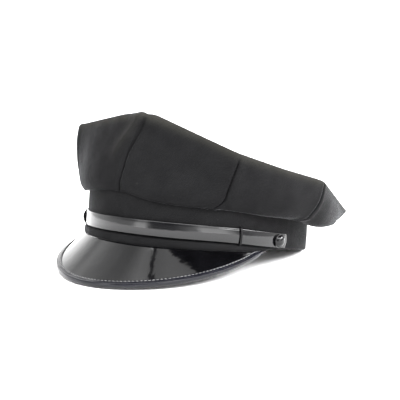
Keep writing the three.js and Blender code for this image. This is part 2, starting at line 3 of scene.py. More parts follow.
import bpy
import numpy as np
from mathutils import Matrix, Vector


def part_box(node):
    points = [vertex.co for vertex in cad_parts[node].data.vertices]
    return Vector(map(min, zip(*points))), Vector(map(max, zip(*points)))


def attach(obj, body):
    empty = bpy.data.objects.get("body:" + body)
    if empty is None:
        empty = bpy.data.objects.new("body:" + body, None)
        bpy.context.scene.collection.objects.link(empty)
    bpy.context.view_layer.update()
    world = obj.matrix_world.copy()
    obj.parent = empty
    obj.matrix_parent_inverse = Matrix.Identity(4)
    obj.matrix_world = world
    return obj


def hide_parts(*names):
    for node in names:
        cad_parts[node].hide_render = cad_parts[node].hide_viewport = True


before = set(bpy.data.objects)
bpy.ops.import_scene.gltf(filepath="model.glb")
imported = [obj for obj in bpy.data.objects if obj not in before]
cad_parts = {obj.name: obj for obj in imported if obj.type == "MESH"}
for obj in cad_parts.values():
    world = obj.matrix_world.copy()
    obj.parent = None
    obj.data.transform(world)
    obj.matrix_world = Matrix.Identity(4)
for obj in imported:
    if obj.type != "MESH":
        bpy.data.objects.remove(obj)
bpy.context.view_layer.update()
scene = bpy.context.scene
RAD = math.pi / 180

# ---------------------------------------------------------------- dimensions
GAP = 0.3
CLOTH = 1.6
BAND_HALF_LENGTH, BAND_HALF_WIDTH, BAND_FULLNESS, BAND_WALL = 99.5, 84.5, 4.0, 2.6
ROLL_OUT = 2.0
PEAK_REACH, PEAK_DROP, PEAK_HALF_ANGLE = 33.3, 28.6, 77.3
PEAK_SHEET, PEAK_CROWNING, NOSE_ROUNDING, REACH_POWER, DROP_POWER = 2.0, -1.5, 0.225, 1.29, 1.73
PEAK_END, BINDING_END, RIM_BACK, RIM_UP = 0.965, 0.945, 0.9, 2.5
BINDING_WIDTH, BINDING_WALL = 3.2, 0.8
STRAP_WIDTH, STRAP_EDGE, STRAP_MIDDLE, STRAP_STANDOFF = 10.8, 0.9, 1.7, 1.25
STRAP_END_ANGLE = 84.4
KEEPER_ANGLE, KEEPER_ANGLE_RIGHT, KEEPER_WIDTH, KEEPER_WALL = 54.0, 37.0, 2.2, 0.65
BUTTON_ANGLE, BUTTON_RADIUS, BUTTON_HEIGHT = 77.6, 5.0, 4.3
SHOULDER, TOP_CENTRE_Z = 5.5, 57.0
PITCH, SINK = 7.2, 0.3

# angle of each crown seam at its point, and how much nearer the front it is below
SEAMS = [(0, 0), (46.9, 3.6), (92, 3.0), (135, 1.5), (180, 0), (225, -1.5), (270, -3.0), (315, -3.0)]
# angle, distance from the axis, height
POINT_LINE = np.array([
    (0, 83.6, 96.1), (8, 83.2, 95.1), (25, 89.4, 86.1), (46.9, 111.5, 70.6), (68, 106.6, 61.6),
    (92, 110.4, 54.5), (135, 131, 27.4), (180, 120, 26.5), (225, 128, 30), (270, 109, 59),
    (292, 103.0, 74.0), (315, 104.2, 85.5), (336, 89.2, 91.2), (348, 85.2, 94.6)], float)
# angle, rise, sag out, sag z, knee out, knee z, swell
SIDE = np.array([
    (0, 1.2, 1.5, 35.4, 2.9, 41.5, 0.4), (12, 1.3, 1.6, 31.2, 4.2, 37.0, 2.0),
    (24, 1.4, 1.8, 28.8, 5.2, 34.4, 2.4), (46.9, 1.6, 2.0, 27.2, 5.8, 33.0, 1.2),
    (68, 2.2, 3.2, 23.6, 9.5, 28.6, 2.6), (90, 4.6, 5.5, 20.4, 13.0, 23.4, 2.4),
    (100, 8.0, 8.0, 15.6, 16.0, 18.4, 2.4), (112, 9.5, 8.0, 14.2, 19.0, 16.8, 2.0),
    (135, 9.2, 9.0, 15.5, 22.0, 17.8, 1.0), (158, 8.5, 7.0, 16.6, 15.5, 17.6, 1.2),
    (180, 7.5, 5.5, 18.8, 12.0, 19.2, 1.0), (202, 7.5, 7.0, 18.8, 15.5, 19.4, 1.2),
    (225, 7.5, 9.5, 18.6, 20.5, 19.2, 1.4), (248, 6.0, 8.5, 20.6, 17.5, 23.6, 2.4),
    (270, 3.6, 5.5, 24.6, 12.5, 29.2, 2.8), (292, 2.2, 3.2, 27.6, 9.0, 32.8, 2.4),
    (315, 1.6, 2.0, 30.2, 6.9, 36.6, 1.8), (338, 1.4, 1.7, 32.6, 5.0, 38.8, 2.4)], float)
TOP = [(0, -2.0), (45, -3.0), (90, -1.0), (135, 2.0), (180, 4.6), (225, 2.0), (270, -1.0), (315, -3.0)]
BAND_FOOT = [(0, 0), (60, 0), (78, 0), (92, -0.9), (105, -2.5), (118, -4.3), (132, -5.2), (180, -3.0)]
BAND_TOP = [(0, 39.6), (46, 35.6), (92, 31.5), (180, 30.4), (268, 31.5), (314, 36.0)]
STRAP_LINE = [(0, 12.9), (26, 12.4), (40, 11.9), (52, 10.9), (65, 9.1), (81, 7.2), (90, 6.2)]


# ---------------------------------------------------------------- small maths
def lerp(a, b, s):
    return a + (b - a) * s


def smooth(x):
    s = np.clip(x, 0, 1)
    return s * s * (3 - 2 * s)


def column(rows, t, closed=True, key=1):
    """Smooth value of one column of a table at the angles t."""
    rows = np.asarray(rows, float)
    xs, ys = rows[:, 0], rows[:, key]
    t = np.asarray(t, float)
    if closed:
        t = np.mod(t, 360.0)
        X = np.concatenate([xs[-2:] - 360, xs, xs[:2] + 360])
        Y = np.concatenate([ys[-2:], ys, ys[:2]])
    else:
        t = np.clip(t, xs[0], xs[-1])
        X = np.concatenate([xs[:1], xs, xs[-1:]])
        Y = np.concatenate([ys[:1], ys, ys[-1:]])
    i = np.clip(np.searchsorted(X, t, side="right") - 1, 1, len(X) - 3)
    return hermite(X[i - 1], X[i], X[i + 1], X[i + 2], Y[i - 1], Y[i], Y[i + 1], Y[i + 2], t)


def hermite(x0, x1, x2, x3, y0, y1, y2, y3, t):
    h = x2 - x1
    s = (t - x1) / h
    m1 = np.where(x2 > x0, (y2 - y0) / np.where(x2 > x0, x2 - x0, 1), 0)
    m2 = np.where(x3 > x1, (y3 - y1) / np.where(x3 > x1, x3 - x1, 1), 0)
    s2, s3 = s * s, s * s * s
    return ((2 * s3 - 3 * s2 + 1) * y1 + (s3 - 2 * s2 + s) * h * m1
            + (-2 * s3 + 3 * s2) * y2 + (s3 - s2) * h * m2)


def wrap(t):
    return np.mod(np.asarray(t, float) + 540, 360) - 180


def polar(t, r, z):
    t, r, z = np.broadcast_arrays(np.asarray(t, float), r, z)
    return np.stack([r * np.sin(t * RAD), -r * np.cos(t * RAD), z], -1)


def band_radius(t):
    s, c = np.sin(np.asarray(t, float) * RAD), np.cos(np.asarray(t, float) * RAD)
    return 1 / np.hypot(s / BAND_HALF_WIDTH, c / BAND_HALF_LENGTH) + BAND_FULLNESS * s * s * np.maximum(0, -c)


def band_normal(t):
    a = polar(np.asarray(t) - 0.5, band_radius(np.asarray(t) - 0.5), 0)
    b = polar(np.asarray(t) + 0.5, band_radius(np.asarray(t) + 0.5), 0)
    n = np.stack([b[..., 1] - a[..., 1], a[..., 0] - b[..., 0], np.zeros_like(a[..., 0])], -1)
    return n / np.linalg.norm(n, axis=-1, keepdims=True)


def off_band(t, out, z):
    t, out, z = np.broadcast_arrays(np.asarray(t, float), out, z)
    return polar(t, band_radius(t), z) + band_normal(t) * out[..., None]


def right_ease(t, width=24):
    """Where the band's cloth and the strap lie closer in, on the wearer's right of the front."""
    return np.exp(-((wrap(np.asarray(t, float)) + 40) / width) ** 2)


BACK_DROP = BAND_HALF_LENGTH * math.sin(PITCH * RAD) - SINK


def tipped(p):
    """The cap frame, pitched nose up and set down, still in millimetres."""
    c, s = math.cos(PITCH * RAD), math.sin(PITCH * RAD)
    x, y, z = p[..., 0], p[..., 1], p[..., 2]
    return np.stack([x, y * c + z * s, np.maximum(z * c - y * s + BACK_DROP, 0)], -1)


def strap_z(t):
    return column(STRAP_LINE, np.abs(t), closed=False)


def roll_top(t):
    w = np.abs(wrap(t))
    return np.maximum(1.6, strap_z(np.minimum(w, 90)) - STRAP_WIDTH / 2 - 0.7)


def roll_out(t):
    return ROLL_OUT * (1 - smooth((np.abs(wrap(t)) - 45) / 35))


# where the CAD put its box's centre, read back from the band
_t = np.arange(72) * 5.0
_band = tipped(np.stack([off_band(_t, 0, column(BAND_FOOT, np.abs(wrap(_t)), False)),
                         off_band(_t, roll_out(_t), roll_top(_t) * 0.45),
                         off_band(_t, 0, column(BAND_TOP, _t))]))
_lo, _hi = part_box("band")
SHIFT = np.array([
    (_lo[0] + _hi[0]) * 500 - (_band[..., 0].min() + _band[..., 0].max()) / 2,
    (_lo[1] + _hi[1]) * 500 - (_band[..., 1].min() + _band[..., 1].max()) / 2,
    _lo[2] * 1000 - _band[..., 2].min()])
SHIFT[0] = 0.0 if abs(SHIFT[0]) < 0.3 else SHIFT[0]


def placed(p):
    """Millimetres in the cap frame to metres in the row frame."""
    return (tipped(p) + SHIFT) / 1000


# ---------------------------------------------------------------- mesh making
def build(name, grid, closed_path=False, loop=False, poles=(False, False), uv=None, attrs=None,
          caps=True, sharp=38):
    """A clean closed mesh from a grid of points, in the cap frame.

    grid[i][j]: i runs along the path and j across the section. closed_path joins
    the last section to the first, loop joins the last point of a section to its
    first, poles draw the first or last row together in one point."""
    ni, nj = grid.shape[:2]
    index = np.arange(ni * nj).reshape(ni, nj)
    if poles[0]:
        index[:, 0] = index[0, 0]
    if poles[1]:
        index[:, -1] = index[0, -1]
    used = np.unique(index)
    remap = -np.ones(ni * nj, int)
    remap[used] = np.arange(len(used))
    index = remap[index]
    co = placed(grid.reshape(-1, 3)[used])
    if uv is None:
        mid = grid[:, nj // 4]
        step = np.linalg.norm(np.roll(mid, -1, 0) - mid, axis=1)
        U = np.concatenate([[0], np.cumsum(step)])[:ni + 1]
        nxt = np.roll(grid, -1, 1)
        V = np.concatenate([np.zeros((ni, 1)), np.cumsum(np.linalg.norm(nxt - grid, axis=2), 1)], 1)
        V = np.concatenate([V, V[:1]], 0)
        U = np.repeat(U[:, None], nj + 1, 1)
    else:
        U, V = uv
    li = ni if closed_path else ni - 1
    lj = nj if loop else nj - 1
    faces, fuv = [], []
    for i in range(li):
        k = (i + 1) % ni
        for j in range(lj):
            m = (j + 1) % nj
            corners = [(index[i, j], i, j), (index[k, j], i + 1, j), (index[k, m], i + 1, j + 1), (index[i, m], i, j + 1)]
            keep, seen = [], set()
            for c in corners:
                if c[0] not in seen:
                    seen.add(c[0])
                    keep.append(c)
            if len(keep) < 3:
                continue
            faces.append([int(c[0]) for c in keep])
            fuv.append([(U[c[1], c[2]], V[c[1], c[2]]) for c in keep])
    if loop and not closed_path and caps:
        for i, order in ((0, 1), (ni - 1, -1)):
            ring = [int(v) for v in index[i]][::order]
            faces.append(ring)
            fuv.append([(p[0] + p[1], p[2]) for p in grid[i]][::order])
    volume = 0.0
    for f in faces:
        a = co[f[0]]
        for q in range(1, len(f) - 1):
            volume += float(np.dot(a, np.cross(co[f[q]], co[f[q + 1]])))
    if volume < 0:
        faces = [f[::-1] for f in faces]
        fuv = [f[::-1] for f in fuv]
    mesh = bpy.data.meshes.new(name)
    mesh.from_pydata(co.tolist(), [], faces)
    layer = mesh.uv_layers.new(name="UVMap")
    flat = np.array([c for f in fuv for c in f], np.float32).reshape(-1, 2) / 1000
    layer.data.foreach_set("uv", flat.ravel())
    for key, values in (attrs or {}).items():
        a = mesh.attributes.new(key, "FLOAT", "POINT")
        a.data.foreach_set("value", np.asarray(values, np.float32).reshape(-1)[used])
    mesh.polygons.foreach_set("use_smooth", [True] * len(mesh.polygons))
    mesh.set_sharp_from_angle(angle=math.radians(sharp))
    mesh.validate()
    mesh.update()
    ob = bpy.data.objects.new(name, mesh)
    scene.collection.objects.link(ob)
    return ob


def grid_normals(g, closed):
    """Outward-ish unit normals of an open grid of points (path i, section j)."""
    if closed:
        di = np.roll(g, -1, 0) - np.roll(g, 1, 0)
    else:
        di = np.gradient(g, axis=0)
    dj = np.gradient(g, axis=1)
    n = np.cross(di, dj)
    return n / np.maximum(np.linalg.norm(n, axis=-1, keepdims=True), 1e-9)


# ---------------------------------------------------------------- crown
def point_line_sharp(t):
    t = np.mod(t, 360.0)
    at = POINT_LINE[:, 0]
    k = np.searchsorted(at, t, side="right") - 1
    a, b = POINT_LINE[k], POINT_LINE[(k + 1) % len(POINT_LINE)]
    p, q = polar(a[..., 0], a[..., 1], a[..., 2]), polar(b[..., 0], b[..., 1], b[..., 2])
    dx, dy = np.sin(t * RAD), -np.cos(t * RAD)
    s = np.clip((p[..., 1] * dx - p[..., 0] * dy)
                / ((q[..., 0] - p[..., 0]) * dy - (q[..., 1] - p[..., 1]) * dx), 0, 1)
    m = p + (q - p) * s[..., None]
    return np.hypot(m[..., 0], m[..., 1]), m[..., 2]


def point_line(t):
    r = z = 0
    total = 0
    wide = 1 + 1.3 * np.exp(-(wrap(np.asarray(t, float) - 92) / 7) ** 2)
    for off, w in ((-2.4, 0.5), (-1.6, 1), (-0.8, 1.5), (0, 1.8), (0.8, 1.5), (1.6, 1), (2.4, 0.5)):
        a, b = point_line_sharp(np.asarray(t, float) + off * wide)
        r, z, total = r + a * w, z + b * w, total + w
    return r / total, z / total


def top_height(t, u):
    _, z = point_line(t)
    return lerp(TOP_CENTRE_Z, z, u) + column(TOP, t) * 4 * u * (1 - u)


def side_rows(t):
    """The ten rows of the side's section at the angles t: arrays (n, 10) of r and z."""
    t = np.asarray(t, float)
    band = band_radius(t)
    rise, sag_out, sag_z, knee_out, knee_z, swell = (column(SIDE, t, True, k) for k in range(1, 7))
    er, ez = point_line(t)
    A = np.stack([band + GAP + 0.45, sag_z + rise], -1)
    B = np.stack([band + sag_out, sag_z], -1)
    K = np.stack([band + knee_out, knee_z], -1)
    U = np.stack([er, ez], -1)
    length = np.linalg.norm(K - U, axis=-1)
    down = (K - U) / length[..., None]
    u_in = 1 - SHOULDER / er
    rnd = np.minimum(SHOULDER, length * 0.35)
    Ua = U + down * rnd[..., None]
    Ub = np.stack([er * u_in, top_height(t, u_in)], -1)
    sgn = np.where(down[..., 1] > 0, 1.0, -1.0)
    out = np.stack([sgn * down[..., 1], -sgn * down[..., 0]], -1)

    def along(s):
        return lerp(K, Ua, s) + out * (4 * s * (1 - s) * swell)[..., None]

    def bend(p, q, r, s):
        return (1 - s) ** 2 * p + 2 * s * (1 - s) * q + s * s * r

    rows = [A, bend(A, B, K, 0.36), bend(A, B, K, 0.7), along(0.06), along(0.3), along(0.55), along(0.8),
            Ua, bend(Ua, U, Ub, 0.5), Ub]
    return np.stack(rows, -2)


TOP_RINGS = (0.9, 0.74, 0.52, 0.28, 0.0)
SIDE_ROWS = 10


def crown_frame(T):
    """The coarse skin, (n, 15, 3): ten rows of side and five rings of top."""
    seam_at = np.array([s[0] for s in SEAMS] + [360.0])
    lean = np.interp(T, seam_at, np.array([s[1] for s in SEAMS] + [SEAMS[0][1]]))
    # just above the roll the seams turn towards the front, where the cloth is tucked in
    curl = np.zeros_like(T)
    for at, size, width in ((46.9, 5.2, 6.0), (92, 6.5, 8.0), (315, -4.0, 6.0), (270, -4.0, 8.0)):
        curl += size * np.exp(-(wrap(T - at) / width) ** 2)
    rows = []
    for j in range(SIDE_ROWS):
        at = T - lean * (1 - smooth(j / (SIDE_ROWS - 3))) - curl * (1 - smooth((j - 0.3) / 3.2))
        rz = side_rows(at)[..., j, :]
        rows.append(polar(at, rz[..., 0], rz[..., 1]))
    er, _ = point_line(T)
    for f in TOP_RINGS:
        u = f * (1 - SHOULDER / er)
        rows.append(polar(T, er * u, top_height(T, u)))
    return np.stack(rows, 1)


def spline_rows(P, jj):
    """A smooth curve through the coarse rows of each section, at row numbers jj."""
    seg = np.linalg.norm(np.diff(P, axis=1), axis=2)
    x = np.concatenate([np.zeros((len(P), 1)), np.cumsum(seg, 1)], 1)
    k = np.clip(np.floor(jj).astype(int), 0, P.shape[1] - 2)
    f = jj - k
    last = P.shape[1] - 1
    k0, k3 = np.clip(k - 1, 0, last), np.clip(k + 2, 0, last)
    x0, x1, x2, x3 = x[:, k0], x[:, k], x[:, k + 1], x[:, k3]
    t = x1 + (x2 - x1) * f
    out = [hermite(x0, x1, x2, x3, P[:, k0, c], P[:, k, c], P[:, k + 1, c], P[:, k3, c], t) for c in range(3)]
    return np.stack(out, -1), t, x


def crown_stations():
    near = np.array([0.28, 0.56, 0.85, 1.2, 1.6, 2.1, 2.8, 3.7, 4.8, 6.2])
    T = []
    for k, (at, _) in enumerate(SEAMS):
        nxt = SEAMS[k + 1][0] if k + 1 < len(SEAMS) else 360
        r = 100.0
        d = near / r / RAD
        T += [at] + list(at + d)
        n = 30
        T += list(np.linspace(at + d[-1], nxt - d[-1], n)[1:-1])
        T += list(nxt - d[::-1])
    return np.array(T)


def crown_row_numbers():
    jj = []

    def span(j, n):
        jj.extend(j + np.arange(n) / n)
    for j, n in ((0, 5), (1, 6), (2, 6), (3, 9), (4, 9), (5, 9), (6, 9), (7, 6)):
        span(j, n)
    jj.extend(9 - np.array([4.4, 3.4, 2.5, 1.8, 1.3, 0.9, 0.55, 0.27]) / 4.6)
    jj.append(9.0)
    jj.extend(9 + np.array([0.3, 0.6, 1.0, 1.5, 2.2, 3.1, 4.4, 6.0]) / 8.0)
    for j, n in ((10, 6), (11, 8), (12, 8), (13, 8)):
        span(j, n)
    jj.append(14.0)
    return np.array(sorted(set(np.round(jj, 5))))


def make_crown():
    T = crown_stations()
    coarse = crown_frame(T)
    jj = crown_row_numbers()
    skin, s_at, s_rows = spline_rows(coarse, jj)
    n = grid_normals(skin, True)
    n[:, -1] = (0, 0.24, 0.97)
    if np.mean(n[:, 20, 0] * skin[:, 20, 0] + n[:, 20, 1] * skin[:, 20, 1]) < 0:
        n = -n
        n[:, -1] = (0, 0.24, 0.97)
    base, base_n = skin.copy(), n.copy()
    Tg, Jg = np.meshgrid(T, jj, indexing="ij")
    R = np.hypot(skin[..., 0], skin[..., 1])
    z = skin[..., 2]
    side = 1 - smooth((Jg - 8.6) / 0.8)
    relief = np.zeros_like(R)
    painted_shade = np.zeros_like(R)
    # seams of the side
    ends = {0: (6.5, 0.9, 0.1), 46.9: (6.3, 0.9, 0.1), 92: (7.3, 1.0, 0.5)}
    for k, (at, _) in enumerate(SEAMS):
        lean = {46.9: 1.2, 92: 1.2}.get(at, 0) * smooth((Jg - 4.0) / 4.0)
        if at == 0:
            lean = 3.3 * smooth((z - 61) / 24)
        d = wrap(Tg - at - lean) * RAD * R
        stop, fade, rest = ends.get(at, (7.6, 1.2, 0.8))
        up = (1 - smooth((Jg - stop) / fade)) * (1 - rest) + rest
        s = smooth((Jg - 0.2) / 0.9) * up * side
        w = 0.62 + (0.75 * smooth((Jg - 3.8) / 2.0) + 0.45 * smooth((Jg - 5.2) / 1.4) if at == 0 else 0)
        relief += -s * 1.25 * np.exp(-(d / w) ** 2)
        relief += s * 0.5 * np.exp(-((np.abs(d) - 2.4) / 1.9) ** 2)
        # the sewing draws the cloth in by small, uneven amounts
        v = s_at
        pull = np.sin(v / 3.1 + k * 1.7) * 0.5 + np.sin(v / 5.3 + k) * 0.5
        relief += s * 0.22 * pull * np.exp(-(d / 6.5) ** 2) * (1 - np.exp(-(d / 1.2) ** 2))
        # painted shade darkens the cloth colour along each seam's hollow
        painted_shade = np.maximum(painted_shade, s * np.exp(-(d / (w * 1.05)) ** 2))
    # the seam between side and top
    d = s_at - s_rows[:, 9:10]
    ring = np.exp(-(d / 0.6) ** 2) * (np.abs(Jg - 9) < 1.5)
    relief += -0.95 * ring + 0.42 * np.exp(-((np.abs(d) - 2.3) / 1.5) ** 2) * (np.abs(Jg - 9) < 1.8)
    # painted shade in that seam as well
    painted_shade = np.maximum(painted_shade, ring)
    # one soft fold beside the centre front seam, sharper on the side of the seam
    high = smooth((z - 50) / 20)
    path = 0.6 - 7.0 * (1 - smooth((z - 58) / 36))
    x = wrap(Tg - path)
    size = 3.0 * (1 - smooth((Jg - 6.6) / 2.3))
    relief += size * high * np.where(x < 0, np.exp(-(np.abs(x) / 5.4) ** 1.3), np.exp(-(np.abs(x) / 2.2) ** 1.6)) \
        * smooth((R - 60) / 20) * side
    # a shallow hollow between that fold and the seam
    relief += -0.35 * high * np.exp(-((x - 3.4) / 1.6) ** 2) * side
    # a faint upright fold in the panel behind the left seam
    x = wrap(Tg - (103.5 + 3.0 * smooth((z - 24) / 20)))
    relief += 0.2 * np.exp(-(x / 4.0) ** 2) * smooth((Jg - 3) / 1.5) * (1 - smooth((Jg - 6.2) / 1.2))
    # the side rounds over softly below the top seam
    over = smooth((Jg - 6.9) / 2.1)
    relief += -0.5 * over * over * side
    # painted highlight: the cloth colour is made paler along the top edge, from the left shoulder back, where the
    # light catches the shoulder
    crest = z[:, int(np.argmin(np.abs(jj - 9)))][:, None]
    near = wrap(Tg - 45)
    painted_highlight = np.where(Jg <= 9, np.exp(-((crest - z) / 4.2) ** 2), 1 - smooth((Jg - 9.0) / 0.8)) \
        * smooth((near + 105) / 20) * smooth((105 - near) / 30) * smooth((Jg - 3) / 2)
    # a fainter painted highlight along the crest of the fold beside the front seam
    fold = wrap(Tg - path)
    painted_highlight = np.maximum(painted_highlight, 0.36 * high * side * np.exp(-((fold + 1.2) / 3.0) ** 2) * smooth((Jg - 3.6) / 2.0))
    # painted shade on the lip, which is turned under, away from the light
    painted_shade = np.maximum(painted_shade, 0.85 * np.exp(-(Jg / 0.7) ** 2))
    # cloth that isn't quite even
    soft = (0.45 * np.sin(Tg * RAD * 7 + 0.5 * z / 9) * np.sin(z / 13 + 1.0)
            + 0.3 * np.sin(Tg * RAD * 13 + 2.1) * np.sin(z / 8.0 + Tg * RAD * 4)
            + 0.18 * np.sin(Tg * RAD * 29 + z / 6.0))
    relief += 0.36 * soft * smooth((Jg - 2) / 2) * (1 - smooth((Jg - 7.0) / 1.5))
    hollow = (0.8 * np.sin(skin[..., 0] / 23 + 0.7) * np.sin(skin[..., 1] / 29 + 0.4)
              + 0.4 * np.sin(skin[..., 0] / 11 + skin[..., 1] / 17))
    relief += hollow * smooth((Jg - 9.8) / 1.5)
    relief[:, -1] = relief[:, -1].mean()
    skin = base + n * relief[..., None]

    # the lining side
    keep = [i for i, j in enumerate(jj) if i % 4 == 0 and j > 0.9]
    if len(jj) - 1 not in keep:
        keep.append(len(jj) - 1)
    inner = base[:, keep] - base_n[:, keep] * CLOTH
    lip = base[:, 0].copy()
    lip[:, 2] += CLOTH
    inner = np.concatenate([lip[:, None], inner], 1)
    whole = np.concatenate([inner[:, ::-1], skin], 1)
    whole[:, 0] = whole[:, 0].mean(0)
    whole[:, -1] = whole[:, -1].mean(0)

    # texture coordinates: each panel's own grain, and one flat sheet for the top
    ni, nin = len(T), inner.shape[1]
    nj = whole.shape[1]
    U = np.zeros((ni + 1, nj + 1))
    V = np.zeros((ni + 1, nj + 1))
    Tx = np.concatenate([T, [360.0]])
    s_all = np.concatenate([s_at, s_at[:1]], 0)
    sk = np.concatenate([skin, skin[:1]], 0)
    for c in range(nj):
        j = c - nin
        if j < 0:
            U[:, c], V[:, c] = Tx * RAD * 105, -c * 3.0
        elif jj[j] <= 9.0:
            U[:, c], V[:, c] = Tx * RAD * 105, s_all[:, j]
        else:
            U[:, c], V[:, c] = sk[:, j, 0] + 400, sk[:, j, 1] + 400
    # att carries the painted shade of the seams and the lip to the material
    att = np.concatenate([np.zeros((ni, nin)), painted_shade], 1)
    # pale carries the painted highlight to the material, kept off the painted shade
    pale = np.concatenate([np.zeros((ni, nin)), painted_highlight * (1 - painted_shade)], 1)
    return build("crown", whole, closed_path=True, poles=(True, True), uv=(U, V), attrs={"painted_shade": att, "painted_highlight": pale}, sharp=75)


# ---------------------------------------------------------------- band
def make_band():
    n = 240
    T = np.arange(n) * 360 / n
    # in front the roll presses down on the peak's root
    foot = column(BAND_FOOT, np.abs(wrap(T)), False) - 0.75 * smooth((74 - np.abs(wrap(T))) / 14)
    ease = 0.8 * right_ease(T)
    top = column(BAND_TOP, T)
    rt, ro = roll_top(T), roll_out(T)
    front = ro / ROLL_OUT
    # painted shade along the roll's lower and upper edges in front and just above the roll, handed to the material as
    # the same shade attribute the crown uses
    rows, roll_shade = [], []
    for s in (0, .01, .035, .07, .12, .18, .26, .36, .46, .56, .66, .75, .83, .9, .95, .985, 1.0):
        z = lerp(foot, rt, s)
        up = np.minimum(z - foot, 1.3)
        edge = 1.3 - np.sqrt(np.maximum(1.69 - (1.3 - up) ** 2, 0))
        out = ro * (1 - abs(2 * s - 1) ** 2.5) ** 0.6 - edge - 0.5 * front * smooth((s - 0.9) / 0.1)
        rows.append(off_band(T, out - ease, z))
        roll_shade.append(front * np.maximum(smooth((s - 0.86) / 0.12), 1 - smooth(s / 0.08)))
    for s in (0.012, .03, .06, .1, .16, .24, .34, .46, .58, .7, .8, .9, .96, 0.99):
        z = lerp(rt, top, s)
        dip = -0.5 * front * np.exp(-((z - rt) / 0.35) ** 2)
        wave = 0.16 * np.sin(T * RAD * 9 + z / 11) * np.sin(z / 7.0 + 1) * smooth((z - rt) / 4)
        over = -0.7 * smooth((s - 0.93) / 0.07)
        rows.append(off_band(T, dip + wave + over - ease, z))
        roll_shade.append(front * np.exp(-((z - rt) / 0.5) ** 2))
    rows.append(off_band(T, -BAND_WALL / 2, top + 0.1))
    roll_shade.append(0 * T)
    for s in (0.97, 0.8, 0.6, 0.4, 0.2, 0.06):
        rows.append(off_band(T, -BAND_WALL, lerp(foot, top, s)))
        roll_shade.append(0 * T)
    for a in (20, 50, 75):
        rows.append(off_band(T, -BAND_WALL + 1.3 - 1.3 * math.cos(a * RAD), foot + 1.3 - 1.3 * math.sin(a * RAD)))
        roll_shade.append(0 * T)
    grid = np.stack(rows, 1)
    return build("band_cloth", grid, closed_path=True, loop=True, attrs={"painted_shade": np.stack(roll_shade, 1)}, sharp=70)


# ---------------------------------------------------------------- peak
def peak_edge(along):
    a, e = np.abs(along), NOSE_ROUNDING
    fall = (np.hypot(a, e) - e) / (math.hypot(1, e) - e)
    wide = 2.1 * np.exp(-((np.asarray(along) + 0.6) / 0.22) ** 2)
    return PEAK_REACH * np.maximum(1 - fall, 0) ** REACH_POWER + wide, (PEAK_DROP - 0.3) * (1 - a ** DROP_POWER)


def peak_angle(along):
    q = along * PEAK_HALF_ANGLE * RAD
    return np.arctan2(BAND_HALF_WIDTH * np.sin(q), BAND_HALF_LENGTH * np.cos(q)) / RAD


def peak_section(along, f):
    """Distance off the band and height, at the shares f from the root to the rim."""
    reach, drop = peak_edge(along)
    start_out, start_z = lerp(-1.4, 0.6, smooth((1 - np.abs(along)) / 0.4)), -GAP - 0.05
    tuck = smooth((np.abs(along) - 0.895) / 0.06)
    end_out = np.maximum(reach - RIM_BACK, lerp(1.2, -0.5, tuck))
    end_z = np.minimum(-drop + RIM_UP * (1 - 0.5 * tuck) + 0.55 * drop * tuck, start_z - lerp(0.9, 0.3, tuck))
    length = np.hypot(end_out - start_out, end_z - start_z)
    nx, nz = (start_z - end_z) / length, (end_out - start_out) / length
    swell = PEAK_CROWNING * np.clip(reach / PEAK_REACH, 0, 1) ** 2
    k = 4 * f * (1 - f) * swell
    return (lerp(start_out, end_out, f) + nx * k,
            np.minimum(lerp(start_z, end_z, f) + nz * k, start_z))


def peak_frame(along, f):
    """Point on the sheet's face, its normal and its outward run, in (out, z)."""
    o, z = peak_section(along, f)
    o2, z2 = peak_section(along, np.minimum(f + 0.01, 1.0))
    o1, z1 = peak_section(along, np.maximum(f - 0.01, 0.0))
    l = np.hypot(o2 - o1, z2 - z1)
    return o, z, -(z2 - z1) / l, (o2 - o1) / l


def make_peak():
    n = 181
    along = PEAK_END * np.linspace(-1, 1, n)
    t = peak_angle(along)
    rows = []
    fs = np.concatenate([[0, .015, .03, .06], np.linspace(.1, .94, 30), [.97, .99]])
    for f in fs:
        o, z, nx, nz = peak_frame(along, f)
        dz = 0.07 * np.sin(t / 7.0 + f * 4) * f
        rows.append(off_band(t, o + nx * dz, z + nz * dz))
    # the sheet is pressed thin where its corners go under the band
    thin = 1 - 0.8 * smooth((np.abs(along) - 0.9) / 0.05)
    o, z, nx, nz = peak_frame(along, 1.0)
    for du, dv in ((0.0, -0.12), (0.12, -0.5), (0.14, -1.0), (0.12, -1.5), (0.0, -PEAK_SHEET + 0.1)):
        du, dv = du * thin, dv * thin
        rows.append(off_band(t, o + nz * du + nx * dv, z - nx * du + nz * dv))
    for f in np.linspace(0.97, 0.0, 20):
        o, z, nx, nz = peak_frame(along, f)
        rows.append(off_band(t, o - nx * PEAK_SHEET * thin, z - nz * PEAK_SHEET * thin))
    grid = np.stack(rows, 1)
    return build("peak_patent", grid, loop=True, sharp=60)


def closed_spline(pts, per):
    """Points of a closed smooth curve through pts."""
    pts = np.asarray(pts, float)
    n = len(pts)
    out = []
    for i in range(n):
        p0, p1, p2, p3 = pts[i - 1], pts[i], pts[(i + 1) % n], pts[(i + 2) % n]
        d1, d2, d3 = (max(np.linalg.norm(b - a), 1e-6) ** 0.5 for a, b in ((p0, p1), (p1, p2), (p2, p3)))
        m1 = ((p1 - p0) / d1 - (p2 - p0) / (d1 + d2) + (p2 - p1) / d2) * d2
        m2 = ((p2 - p1) / d2 - (p3 - p1) / (d2 + d3) + (p3 - p2) / d3) * d2
        for k in range(per):
            s = k / per
            s2, s3 = s * s, s * s * s
            out.append((2 * s3 - 3 * s2 + 1) * p1 + (s3 - 2 * s2 + s) * m1
                       + (-2 * s3 + 3 * s2) * p2 + (s3 - s2) * m2)
    return np.array(out)


def rim_frame(along):
    o, z, nx, nz = peak_frame(along, 1.0)
    o0, z0 = peak_section(along, 0.86)
    l = np.hypot(o - o0, z - z0)
    return o, z, -(z - z0) / l, (o - o0) / l


def on_rim(along, u, v):
    """u outward past the sheet's edge, v off its face."""
    o, z, nx, nz = rim_frame(along)
    return off_band(peak_angle(along), o + nz * u + nx * v, z - nx * u + nz * v)


